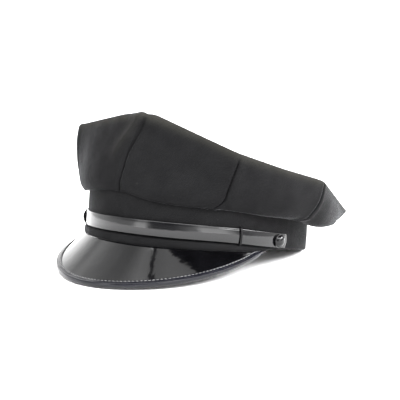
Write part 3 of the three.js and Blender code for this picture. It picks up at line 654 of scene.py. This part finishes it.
def binding_taper(along):
    """Share of its full width and height that the binding has at a place on the rim."""
    o, z = peak_section(along, 1.0)
    o0, z0 = peak_section(along, 0.0)
    k = np.clip((np.hypot(o - o0, z - z0) - 0.7) / 4.0, 0.12, 1)
    return k, np.clip(k * 1.25, 0.3, 1) * (1 - 0.6 * smooth((np.abs(along) - 0.9) / 0.05))


def make_binding():
    W, g, w, s = BINDING_WIDTH + 0.55, GAP, BINDING_WALL, PEAK_SHEET
    # out over the rim and back under it, then inside the fold
    outer = [(-W, g + 0.02), (-W - 0.08, g + 0.22), (-W + 0.18, g + 0.44), (-W + 0.5, g + 0.46),
             (-W + 0.85, g + 0.36), (-W + 1.2, g + 0.46), (-W + 1.9, g + 0.6), (-W + 2.5, g + 0.66), (-0.75, g + 0.74),
             (-0.42, g + w + 0.12), (-0.05, g + w + 0.16), (0.3, g + 0.72), (0.85, g + 0.02), (1.2, -0.7),
             (1.22, -s + 0.5), (1.0, -s - 0.1), (0.5, -s - g - 0.15),
             (-0.3, -s - g - 0.35), (-W * 0.6, -s - g - 0.4), (-W + 0.1, -s - g - 0.36), (-W, -s - g - 0.2)]
    inner = [(-W + 0.1, -s - g + 0.02), (-W * 0.5, -s - g), (g - 0.12, -s - g), (g, -s - 0.1), (g, 0.1), (g - 0.12, g),
             (-W * 0.5, g), (-W + 0.1, g)]
    loop = closed_spline(outer + inner, 3)
    n = 261
    along = BINDING_END * np.linspace(-1, 1, n)
    k, kv = binding_taper(along)
    rows = []
    for u, v in loop:
        # the fold sits a little unevenly on the rim, and narrows where the sheet runs out
        rows.append(on_rim(along, (u * k if u < 0 else u * kv) + 0.05 * np.sin(along * 41 + v),
                           (v * kv if v > 0 else v * np.sqrt(kv)) + 0.03 * np.sin(along * 63 + u)))
    return build("peak_binding_patent", np.stack(rows, 1), loop=True, sharp=60)


def make_binding_stitches():
    """One row of stitches through the binding, beside its inner edge."""
    ends = np.linspace(-0.83, 0.83, 2001)
    inset = -BINDING_WIDTH - 0.55 + 0.85
    line = on_rim(ends, inset, GAP + 0.36)
    length = np.concatenate([[0], np.cumsum(np.linalg.norm(np.diff(line, axis=0), axis=1))])
    pitch, thread, stitch = 2.75, 0.30, 2.05
    verts, faces = [], []
    count = int(length[-1] // pitch)
    for q in range(count):
        mid = (q + 0.5) * pitch
        a = np.interp(mid + stitch * np.linspace(-0.5, 0.5, 7), length, ends)
        lift = np.array([-0.28, -0.02, 0.12, 0.17, 0.12, -0.02, -0.28])
        skew = 0.06 * np.linspace(-1, 1, 7)
        k, kv = binding_taper(a)
        centre = on_rim(a, (inset + skew) * k, (GAP + 0.42) * kv + lift)
        side = on_rim(a, inset + 0.5, GAP + 0.4) - on_rim(a, inset, GAP + 0.4)
        side /= np.linalg.norm(side, axis=1, keepdims=True)
        up = on_rim(a, inset, GAP + 0.9) - on_rim(a, inset, GAP + 0.4)
        up /= np.linalg.norm(up, axis=1, keepdims=True)
        first = len(verts)
        m = 8
        for i in range(7):
            rad = thread * (0.62, 0.92, 1, 1, 1, 0.92, 0.62)[i]
            for k in range(m):
                c, s = math.cos(2 * math.pi * k / m), math.sin(2 * math.pi * k / m)
                verts.append(centre[i] + (side[i] * c + up[i] * s) * rad)
        for i in range(6):
            for k in range(m):
                a0, a1 = first + i * m + k, first + i * m + (k + 1) % m
                faces.append([a0, a1, a1 + m, a0 + m])
        faces.append([first + k for k in range(m)][::-1])
        faces.append([first + 6 * m + k for k in range(m)])
    co = placed(np.array(verts))
    mesh = bpy.data.meshes.new("peak_stitches")
    mesh.from_pydata(co.tolist(), [], faces)
    mesh.polygons.foreach_set("use_smooth", [True] * len(mesh.polygons))
    mesh.update()
    ob = bpy.data.objects.new("peak_stitches", mesh)
    scene.collection.objects.link(ob)
    fix_outward(ob)
    return ob


def fix_outward(ob):
    import bmesh
    bm = bmesh.new()
    bm.from_mesh(ob.data)
    bmesh.ops.recalc_face_normals(bm, faces=bm.faces)
    bm.to_mesh(ob.data)
    bm.free()


# ---------------------------------------------------------------- strap
def strap_wander(t):
    """How the strap's face lies: off the band, and tipped about its own length."""
    off = 0.10 * np.sin(t * RAD * 5 + 0.6) + 0.06 * np.sin(t * RAD * 13 + 1.9)
    tip = 0.16 * np.sin(t * RAD * 3.2 + 0.9) + 0.10 * np.sin(t * RAD * 8.3 + 2.2)
    return off + 0.1 - 2.45 * right_ease(t, 22) - 0.5 * right_ease(t, 12), tip * (1 - 0.5 * right_ease(t, 22))


def strap_height(a):
    """Thickness of the strap at a share a of its width, -0.5 to 0.5."""
    x = np.abs(2 * a)
    return STRAP_EDGE + 0.05 + (STRAP_MIDDLE - STRAP_EDGE) * (1 - x ** 2.1)


def make_strap():
    n = 361
    end = STRAP_END_ANGLE
    t = np.linspace(-end, end, n)
    off, tip = strap_wander(t)
    # the corners of the two ends are clipped round
    arc = (end - np.abs(t)) * RAD * 86
    nip = np.where(arc < 0.6, 0.6 - np.sqrt(np.maximum(0.36 - (0.6 - arc) ** 2, 0)), 0)
    half = (STRAP_WIDTH / 2 - nip) / STRAP_WIDTH
    end_drop = 0.45 * (1 - np.sqrt(np.clip(arc / 0.5, 0, 1)))
    rows = []
    across = np.concatenate([[-0.5, -0.497, -0.488, -0.473], np.linspace(-0.45, 0.45, 25), [0.473, 0.488, 0.497, 0.5]])
    for a in across:
        aa = a * 2 * half
        edge_out = {0.5: 0.45, 0.497: 0.72, 0.488: 0.93, 0.473: 1.02}.get(abs(a))
        h = strap_height(a) if edge_out is None else edge_out
        # a shallow pressed line just inside each edge
        h = h - 0.10 * math.exp(-((abs(a) - 0.405) / 0.016) ** 2)
        rows.append(off_band(t, STRAP_STANDOFF + off + h + tip * a - end_drop * h, strap_z(t) + aa * STRAP_WIDTH))
    for a in (0.494, 0.3, 0.0, -0.3, -0.494):
        aa = a * 2 * half
        rows.append(off_band(t, STRAP_STANDOFF + off + tip * a * 0.8 + 0.05, strap_z(t) + aa * STRAP_WIDTH))
    return build("strap_patent", np.stack(rows, 1), loop=True, sharp=50)


def make_keeper(side, name):
    t0 = KEEPER_ANGLE if side > 0 else -KEEPER_ANGLE_RIGHT
    off, tip = strap_wander(np.array([t0]))
    off, tip = float(off[0]), float(tip[0])
    tall = STRAP_WIDTH / 2 + GAP * 0.7
    front, back = STRAP_MIDDLE + (0.3 if side > 0 else 0.1), -0.35
    # round the strap: height off its centre line, distance off its back
    path = [(-tall - 0.1, back + 0.5), (-tall - 0.05, 0.7), (-tall + 0.55, STRAP_EDGE + 0.45), (-tall * 0.6, front - 0.18),
            (0, front), (tall * 0.6, front - 0.18), (tall - 0.55, STRAP_EDGE + 0.45), (tall + 0.05, 0.7), (tall + 0.1, back + 0.5),
            (tall - 0.4, back), (0, back), (-tall + 0.4, back)]
    loop = closed_spline(path, 6)
    nxt, prv = np.roll(loop, -1, 0), np.roll(loop, 1, 0)
    tangent = nxt - prv
    tangent /= np.linalg.norm(tangent, axis=1, keepdims=True)
    out = np.stack([-tangent[:, 1], tangent[:, 0]], 1)
    if np.mean(out[:, 0] * loop[:, 0] + out[:, 1] * (loop[:, 1] - 0.7)) < 0:
        out = -out
    half, wall = (0.8, KEEPER_WALL + 0.3) if side > 0 else (1.5, KEEPER_WALL + 1.9)
    section = []
    for a in np.linspace(0, 360, 25)[:-1]:
        c, s = math.cos(a * RAD), math.sin(a * RAD)
        section.append((half * np.sign(c) * abs(c) ** 0.55, wall / 2 + wall / 2 * np.sign(s) * abs(s) ** 0.7))
    # the far one is thickest at mid height and runs out towards its edges
    thick = np.ones(len(loop)) if side > 0 else 1 - 0.75 * np.clip(np.abs(loop[:, 0]) / tall, 0, 1) ** 1.8
    thick = np.where(loop[:, 1] > 0.4, thick, 0.25 if side < 0 else 1.0)
    rows = []
    for w, h in section:
        p = loop + out * (h * thick)[:, None]
        t = t0 + w / band_radius(t0) / RAD
        rows.append(off_band(t, STRAP_STANDOFF + off + p[:, 1] + tip * p[:, 0] / STRAP_WIDTH, strap_z(t0) + p[:, 0]))
    return build(name, np.stack(rows, 1), closed_path=True, loop=True, sharp=60)


def make_button(side, name):
    t0 = side * BUTTON_ANGLE
    off, tip = strap_wander(np.array([t0]))
    base = STRAP_STANDOFF + float(off[0]) + STRAP_MIDDLE - 0.12
    R = BUTTON_RADIUS * 1.06
    profile = [(0, 0), (2.0, 0.0), (4.0, 0.0), (R * 0.9, 0.10), (R * 0.97, 0.35), (R, 0.8), (R * 1.0, 1.25),
               (R * 0.985, 1.6), (R * 0.955, 1.85), (R * 0.91, 1.95), (R * 0.87, 1.86), (R * 0.845, 1.7), (R * 0.825, 1.78),
               (R * 0.80, 2.1), (R * 0.76, 2.5), (R * 0.70, 2.88), (R * 0.62, 3.25), (R * 0.53, 3.55), (R * 0.43, 3.8),
               (R * 0.33, 3.98), (R * 0.22, 4.1), (R * 0.11, 4.16), (0, 4.18)]
    nrm = band_normal(t0)
    tangent = np.array([-nrm[1], nrm[0], 0])
    up = np.array([0, 0, 1.0])
    centre = polar(t0, band_radius(t0), strap_z(t0) - 0.35) + nrm * base
    m = 72
    rows = []
    for x, y in profile:
        a = np.arange(m) * 2 * math.pi / m
        rows.append(centre + nrm * y + x * (tangent * np.cos(a)[:, None] + up * np.sin(a)[:, None]))
    return build(name, np.stack(rows, 1), closed_path=True, poles=(True, True), sharp=60)


# ---------------------------------------------------------------- materials
class Graph:
    """Short names for making a material's nodes."""

    def __init__(self, name):
        self.mat = bpy.data.materials.new(name)
        self.mat.use_nodes = True
        self.tree = self.mat.node_tree
        self.tree.nodes.clear()
        self.out = self.add("ShaderNodeOutputMaterial")
        self.bsdf = self.add("ShaderNodeBsdfPrincipled")
        self.link(self.bsdf.outputs["BSDF"], self.out.inputs["Surface"])

    def add(self, kind, **props):
        node = self.tree.nodes.new(kind)
        for key, value in props.items():
            setattr(node, key, value)
        return node

    def link(self, a, b):
        self.tree.links.new(a, b)

    def set(self, **values):
        for key, value in values.items():
            self.bsdf.inputs[key.replace("_", " ")].default_value = value

    def coords(self, kind="UV", scale=(1, 1, 1), rotation=(0, 0, 0)):
        tc = self.add("ShaderNodeTexCoord")
        mp = self.add("ShaderNodeMapping")
        mp.inputs["Scale"].default_value = scale
        mp.inputs["Rotation"].default_value = rotation
        self.link(tc.outputs[kind], mp.inputs["Vector"])
        return mp.outputs["Vector"]

    def noise(self, vector, scale, detail=2.0, rough=0.5, distortion=0.0):
        n = self.add("ShaderNodeTexNoise")
        n.inputs["Scale"].default_value = scale
        n.inputs["Detail"].default_value = detail
        n.inputs["Roughness"].default_value = rough
        n.inputs["Distortion"].default_value = distortion
        self.link(vector, n.inputs["Vector"])
        return n.outputs["Fac"]

    def wave(self, vector, scale, distortion=0.0, direction="X", detail=0.0, detail_scale=1.0):
        w = self.add("ShaderNodeTexWave", wave_type="BANDS", bands_direction=direction, wave_profile="SIN")
        w.inputs["Scale"].default_value = scale
        w.inputs["Distortion"].default_value = distortion
        w.inputs["Detail"].default_value = detail
        w.inputs["Detail Scale"].default_value = detail_scale
        self.link(vector, w.inputs["Vector"])
        return w.outputs["Fac"]

    def math(self, op, a, b=None, clamp=False):
        m = self.add("ShaderNodeMath", operation=op, use_clamp=clamp)
        for i, v in enumerate((a, b)):
            if v is None:
                continue
            if isinstance(v, (int, float)):
                m.inputs[i].default_value = v
            else:
                self.link(v, m.inputs[i])
        return m.outputs[0]

    def remap(self, value, lo, hi, out_lo, out_hi):
        r = self.add("ShaderNodeMapRange", clamp=True)
        for key, v in (("From Min", lo), ("From Max", hi), ("To Min", out_lo), ("To Max", out_hi)):
            r.inputs[key].default_value = v
        self.link(value, r.inputs["Value"])
        return r.outputs["Result"]

    def mix(self, fac, a, b):
        m = self.add("ShaderNodeMix", data_type="RGBA")
        if isinstance(fac, (int, float)):
            m.inputs[0].default_value = fac
        else:
            self.link(fac, m.inputs[0])
        for i, v in ((6, a), (7, b)):
            if isinstance(v, tuple):
                m.inputs[i].default_value = (*v, 1) if len(v) == 3 else v
            else:
                self.link(v, m.inputs[i])
        return m.outputs[2]

    def bump(self, height, distance, strength=1.0, normal=None):
        b = self.add("ShaderNodeBump")
        b.inputs["Distance"].default_value = distance
        b.inputs["Strength"].default_value = strength
        self.link(height, b.inputs["Height"])
        if normal is not None:
            self.link(normal, b.inputs["Normal"])
        return b.outputs["Normal"]

    def attribute(self, name):
        a = self.add("ShaderNodeAttribute", attribute_type="GEOMETRY", attribute_name=name)
        return a.outputs["Fac"]


def cloth_material(name, light=(0.0065, 0.0065, 0.0069), dark=(0.0043, 0.0043, 0.0047)):
    """Black worsted twill with a short nap."""
    g = Graph(name)
    uv = g.coords("UV")
    ob = g.coords("Object")
    # colour: worn and brushed patches, and yarns that differ a little
    patches = g.noise(ob, 34, 3, 0.55, 0.4)
    yarn = g.noise(g.coords("UV", scale=(900, 2600, 1), rotation=(0, 0, 0.9)), 1.0, 2, 0.6)
    tone = g.math("ADD", g.math("MULTIPLY", patches, 0.7), g.math("MULTIPLY", yarn, 0.3))
    tone = g.remap(tone, 0.36, 0.64, 0.0, 1.0)
    colour = g.mix(tone, dark, light)
    # a few pale flecks of lint
    fleck = g.noise(ob, 420, 1, 0.5)
    rare = g.noise(ob, 55, 0, 0.5)
    lint = g.math("MULTIPLY", g.remap(fleck, 0.74, 0.79, 0, 1), g.remap(rare, 0.60, 0.66, 0, 1))
    colour = g.mix(g.math("MULTIPLY", lint, 0.06), colour, (0.12, 0.12, 0.11))
    # painted highlight: a paler, warmer colour along the crown's top edge and along the crest of the fold beside the
    # front seam
    colour = g.mix(g.math("MULTIPLY", g.attribute("painted_highlight"), g.remap(g.noise(ob, 60, 3), 0.3, 0.7, 0.65, 1.0)), colour, (0.021, 0.0205, 0.018))
    # painted shade: the base colour is darkened and the sheen weakened along the seams, the turned-under lip and the
    # edges of the band's roll
    painted_shade = g.attribute("painted_shade")
    colour = g.mix(g.math("MULTIPLY", painted_shade, 0.8), colour, (0.0022, 0.0022, 0.0024))
    g.link(g.remap(painted_shade, 0.0, 1.0, 0.15, 0.02), g.bsdf.inputs["Sheen Weight"])
    g.link(colour, g.bsdf.inputs["Base Color"])
    rough = g.remap(g.noise(ob, 90, 2), 0.35, 0.65, 0.82, 0.96)
    g.link(rough, g.bsdf.inputs["Roughness"])
    g.set(Specular_IOR_Level=0.07, Sheen_Roughness=0.24, Sheen_Tint=(0.95, 0.96, 1.0, 1))
    # twill ribs at 45 degrees, crossed by the finer weft, and loose fibre over them
    twill = g.wave(g.coords("UV", rotation=(0, 0, 0.80)), 215, 0.6, detail=1.0, detail_scale=3.0)
    weft = g.wave(g.coords("UV", rotation=(0, 0, -0.45)), 330, 0.4)
    nap = g.noise(uv, 1500, 3, 0.65, 0.6)
    height = g.math("ADD", g.math("MULTIPLY", twill, 0.55), g.math("MULTIPLY", weft, 0.2))
    n1 = g.bump(height, 0.00022, 0.75)
    n2 = g.bump(nap, 0.00025, 0.55, n1)
    n3 = g.bump(g.noise(ob, 75, 3, 0.5), 0.0011, 0.35, n2)
    g.link(n3, g.bsdf.inputs["Normal"])
    return g.mat


def patent_material(name, colour=(0.0017, 0.0017, 0.0021), second=(0.0032, 0.0032, 0.0038), coat=0.5, peel=1.0,
                    rough=(0.045, 0.12), specular=0.25):
    """Black patent vinyl: a thick clear gloss with a faint peel and handling marks."""
    g = Graph(name)
    ob = g.coords("Object")
    patches = g.noise(ob, 45, 3, 0.55, 0.3)
    g.link(g.mix(g.remap(patches, 0.35, 0.65, 0, 1), colour, second), g.bsdf.inputs["Base Color"])
    smear = g.noise(g.coords("Object", scale=(1, 1, 3)), 70, 4, 0.6, 0.8)
    g.link(g.remap(smear, 0.42, 0.72, rough[0], rough[1]), g.bsdf.inputs["Roughness"])
    g.set(Coat_Weight=coat, Coat_Roughness=0.03, Coat_IOR=1.5, IOR=1.5, Specular_IOR_Level=specular)
    fine = g.noise(ob, 900, 2, 0.5)
    broad = g.noise(ob, 130, 2, 0.5, 0.2)
    n1 = g.bump(broad, 0.00020, 0.30 * peel)
    n2 = g.bump(fine, 0.00003, 0.25 * peel, n1)
    g.link(n2, g.bsdf.inputs["Normal"])
    g.link(n1, g.bsdf.inputs["Coat Normal"])
    return g.mat


def thread_material(name):
    g = Graph(name)
    ob = g.coords("Object")
    g.link(g.mix(g.remap(g.noise(ob, 700, 2), 0.35, 0.65, 0, 1), (0.035, 0.035, 0.035), (0.08, 0.08, 0.077)),
           g.bsdf.inputs["Base Color"])
    g.link(g.remap(g.noise(ob, 2500, 1), 0.3, 0.7, 0.28, 0.45), g.bsdf.inputs["Roughness"])
    g.set(Specular_IOR_Level=0.8, Sheen_Weight=0.1)
    ply = g.wave(g.coords("Object", rotation=(0.6, 0.3, 0.7)), 900, 0.5)
    g.link(g.bump(ply, 0.00008, 0.5), g.bsdf.inputs["Normal"])
    return g.mat


def floor_material():
    g = Graph("pale_floor")
    ob = g.coords("Object")
    g.link(g.mix(g.remap(g.noise(ob, 3.0, 2), 0.3, 0.7, 0, 1), (0.86, 0.86, 0.865), (0.90, 0.90, 0.90)),
           g.bsdf.inputs["Base Color"])
    g.link(g.remap(g.noise(ob, 14, 2), 0.3, 0.7, 0.85, 0.95), g.bsdf.inputs["Roughness"])
    g.set(Specular_IOR_Level=0.1)
    return g.mat


# ---------------------------------------------------------------- camera and light
def place_camera():
    cam = bpy.data.cameras.new("camera")
    cam.sensor_width = 36.0
    cam.lens = 64.8
    cam.clip_start, cam.clip_end = 0.02, 60
    ob = bpy.data.objects.new("camera", cam)
    scene.collection.objects.link(ob)
    eye, aim = Vector((0.3388, -0.4695, 0.1367)), Vector((-0.0030, 0.0142, 0.0408))
    ob.location = eye
    ob.rotation_euler = (aim - eye).to_track_quat("-Z", "Y").to_euler()
    scene.camera = ob
    return ob


def area(name, at, to, size, power, size_y=None, colour=(1, 1, 1)):
    lamp = bpy.data.lights.new(name, "AREA")
    lamp.shape = "RECTANGLE"
    lamp.size, lamp.size_y = size, size_y or size
    lamp.energy = power
    lamp.color = colour
    ob = bpy.data.objects.new(name, lamp)
    scene.collection.objects.link(ob)
    ob.location = at
    ob.rotation_euler = (Vector(to) - Vector(at)).to_track_quat("-Z", "Y").to_euler()
    return ob


def light_studio():
    """A plain studio: a pale wall all round with two soft boxes in it, a grey ceiling panel, and
    two banks of light, one high in front and one lower behind."""
    world = bpy.data.worlds.new("studio")
    scene.world = world
    world.use_nodes = True
    tree = world.node_tree
    tree.nodes.clear()
    link = tree.links.new

    def put(kind, **props):
        node = tree.nodes.new(kind)
        for key, value in props.items():
            setattr(node, key, value)
        return node

    def calc(op, a, b=0.0, c=None):
        m = put("ShaderNodeMath", operation=op)
        for i, v in enumerate((a, b, c)):
            if v is None:
                continue
            if isinstance(v, (int, float)):
                m.inputs[i].default_value = v
            else:
                link(v, m.inputs[i])
        return m.outputs[0]

    def step(value, lo, hi, a=0.0, b=1.0):
        r = put("ShaderNodeMapRange", interpolation_type="SMOOTHSTEP")
        for key, v in (("From Min", lo), ("From Max", hi), ("To Min", a), ("To Max", b)):
            r.inputs[key].default_value = v
        link(value, r.inputs["Value"])
        return r.outputs["Result"]

    def curve(value, points, top=4.0):
        """A smooth table of value; points run from 0 to 1."""
        ramp = put("ShaderNodeValToRGB")
        ramp.color_ramp.interpolation = "LINEAR"
        e = ramp.color_ramp.elements
        e[0].position, e[1].position = points[0][0], points[-1][0]
        for el, v in ((e[0], points[0][1]), (e[1], points[-1][1])):
            el.color = (v / top, v / top, v / top, 1)
        for x, v in points[1:-1]:
            el = e.new(x)
            el.color = (v / top, v / top, v / top, 1)
        link(value, ramp.inputs["Fac"])
        return calc("MULTIPLY", ramp.outputs["Color"], top)

    out = put("ShaderNodeOutputWorld")
    bg = put("ShaderNodeBackground")
    tc = put("ShaderNodeTexCoord")
    sep = put("ShaderNodeSeparateXYZ")
    link(tc.outputs["Generated"], sep.inputs[0])
    x, y, z = sep.outputs["X"], sep.outputs["Y"], sep.outputs["Z"]
    turn = calc("MULTIPLY_ADD", calc("ARCTAN2", x, calc("MULTIPLY", y, -1.0)), 1 / (2 * math.pi), 0.5)
    low = curve(turn, [((a + 180) / 360, v) for a, v in WALL])
    low = calc("MULTIPLY", low, curve(z, WALL_HEIGHT, 1.0))
    across = calc("ADD", x, calc("MULTIPLY", y, 0.18))
    high = curve(calc("MULTIPLY_ADD", across, 0.5, 0.5), [((a + 1) / 2, v) for a, v in CEILING])
    panel_end = step(calc("SUBTRACT", x, calc("MULTIPLY", y, 0.64)), 0.135, 0.165)
    high = calc("ADD", calc("MULTIPLY", high, calc("SUBTRACT", 1.0, panel_end)), calc("MULTIPLY", panel_end, 0.012))
    share = step(z, 0.50, 0.62)
    both = calc("ADD", calc("MULTIPLY", low, calc("SUBTRACT", 1.0, share)), calc("MULTIPLY", high, share))
    key = calc("MULTIPLY", curve(turn, [((a + 180) / 360, v) for a, v in KEY_BANK], 16.0),
               calc("MULTIPLY", step(z, 0.60, 0.68), step(z, 0.83, 0.88, 1.0, 0.0)))
    back = calc("MULTIPLY", curve(turn, [((a + 180) / 360, v) for a, v in BACK_BANK], 16.0),
                calc("MULTIPLY", step(z, 0.36, 0.48), step(z, 0.58, 0.67, 1.0, 0.0)))
    top = calc("MULTIPLY", curve(turn, [((a + 180) / 360, v) for a, v in TOP_BANK], 16.0),
               calc("MULTIPLY", step(z, 0.86, 0.89), step(z, 0.955, 0.975, 1.0, 0.0)))
    skirting = step(z, 0.03, 0.05, 0.6, 0.0)
    total = calc("ADD", calc("ADD", both, skirting), calc("ADD", key, calc("ADD", back, top)))
    link(total, bg.inputs["Color"])
    bg.inputs["Strength"].default_value = 2.0
    link(bg.outputs[0], out.inputs[0])


# how bright the wall is, by the angle from the front, and how that falls with height
WALL = [(-180, 1.5), (-150, 1.35), (-128, 1.2), (-113, 1.25), (-98, 1.15), (-83, 1.02), (-68, 1.2), (-53, 1.08),
        (-38, 1.05), (-24, 1.15), (-17, 1.5), (-12.5, 3.1), (-4, 3.1), (1.5, 0.6), (8, 0.28), (28, 0.28), (36, 0.55),
        (46, 1.0), (53, 1.4), (59, 3.3), (78, 3.2), (86, 2.0), (92, 0.8), (102, 0.5), (112, 0.75), (127, 0.95),
        (142, 1.0), (160, 1.3), (180, 1.5)]
WALL_HEIGHT = [(0, 1.0), (0.22, 1.0), (0.29, 0.88), (0.37, 0.68), (0.44, 0.57), (0.472, 0.52), (0.497, 0.41), (0.59, 0.39), (1.0, 0.36)]
# how bright the ceiling is, from the left (-1) to the right (1); a rail crosses its middle
CEILING = [(-1, 1.0), (-0.85, 0.85), (-0.75, 0.76), (-0.69, 0.69), (-0.65, 0.60), (-0.58, 0.56), (-0.51, 0.49), (-0.42, 0.50),
           (-0.35, 0.72), (-0.27, 1.06), (-0.20, 1.0), (-0.184, 0.9), (-0.172, 0.10), (-0.138, 0.10), (-0.126, 0.78),
           (-0.06, 0.85), (0.0, 0.95), (0.1, 0.95), (0.25, 0.85), (1, 0.85)]
# how bright the two high banks of light are, by the angle from the front
KEY_BANK = [(-180, 0), (-46, 0), (-26, 3.6), (0, 4.0), (30, 5.8), (58, 10.0), (74, 11.0), (88, 0), (180, 0)]
BACK_BANK = [(-180, 7.0), (-142, 4.0), (-122, 0), (78, 0), (92, 15.9), (110, 15.9), (150, 15.9), (180, 9.0)]
TOP_BANK = [(-180, 0), (-50, 0), (-35, 4.0), (48, 4.0), (56, 0), (180, 0)]


def lay_floor():
    size = 12.0
    mesh = bpy.data.meshes.new("floor")
    mesh.from_pydata([(-size, -size, 0), (size, -size, 0), (size, size, 0), (-size, size, 0)], [], [(0, 1, 2, 3)])
    ob = bpy.data.objects.new("floor", mesh)
    ob.location.z = -0.00015
    scene.collection.objects.link(ob)
    mesh.materials.append(floor_material())
    return ob


# ---------------------------------------------------------------- the scene
place_camera()
light_studio()
lay_floor()
scene.view_settings.view_transform = "Standard"
scene.view_settings.look = "None"

cloth = cloth_material("cap_cloth")
band_cloth = cloth_material("cap_band_cloth", (0.0059, 0.0059, 0.0063), (0.0040, 0.0040, 0.0043))
peak_patent = patent_material("peak_vinyl", (0.0007, 0.0007, 0.0009), (0.0016, 0.0016, 0.0020), peel=1.6)
binding_patent = patent_material("binding_vinyl", (0.004, 0.004, 0.006), (0.0065, 0.0065, 0.0095), coat=0.21, peel=1.3, rough=(0.17, 0.30), specular=0.145)
strap_patent = patent_material("strap_vinyl", coat=0.43, peel=1.6, rough=(0.06, 0.16), specular=0.22)
keeper_vinyl = patent_material("keeper_vinyl", coat=0.03, rough=(0.34, 0.5), specular=0.11)
keeper_dull = patent_material("keeper_dull_vinyl", coat=0.0, rough=(0.5, 0.7), specular=0.06)
button_gloss = patent_material("button_gloss", coat=0.27, peel=0.4, rough=(0.10, 0.16), specular=0.15)
thread = thread_material("binding_thread")

PANELS = ["crown_top"] + ["crown_panel_" + s for s in (
    "left_of_front", "left_side_front", "left_side_back", "left_of_back",
    "right_of_back", "right_side_back", "right_side_front", "right_of_front")]


def finish_piece(ob, material, slot, *nodes):
    ob.data.materials.append(material)
    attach(ob, "root")
    if nodes:
        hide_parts(*nodes)
    return ob


finish_piece(make_crown(), cloth, "cap_cloth", *PANELS)
finish_piece(make_band(), band_cloth, "cap_cloth", "band")
finish_piece(make_peak(), peak_patent, "peak_vinyl", "peak")
finish_piece(make_binding(), binding_patent, "binding_vinyl", "peak_binding")
finish_piece(make_binding_stitches(), thread, "binding_vinyl")
finish_piece(make_strap(), strap_patent, "strap_vinyl", "strap")
finish_piece(make_keeper(1, "keeper_left_loop"), keeper_vinyl, "strap_vinyl", "keeper_left")
finish_piece(make_keeper(-1, "keeper_right_loop"), keeper_dull, "strap_vinyl", "keeper_right")
finish_piece(make_button(1, "button_left_gloss"), button_gloss, "button_gloss", "button_left")
finish_piece(make_button(-1, "button_right_gloss"), button_gloss, "button_gloss", "button_right")
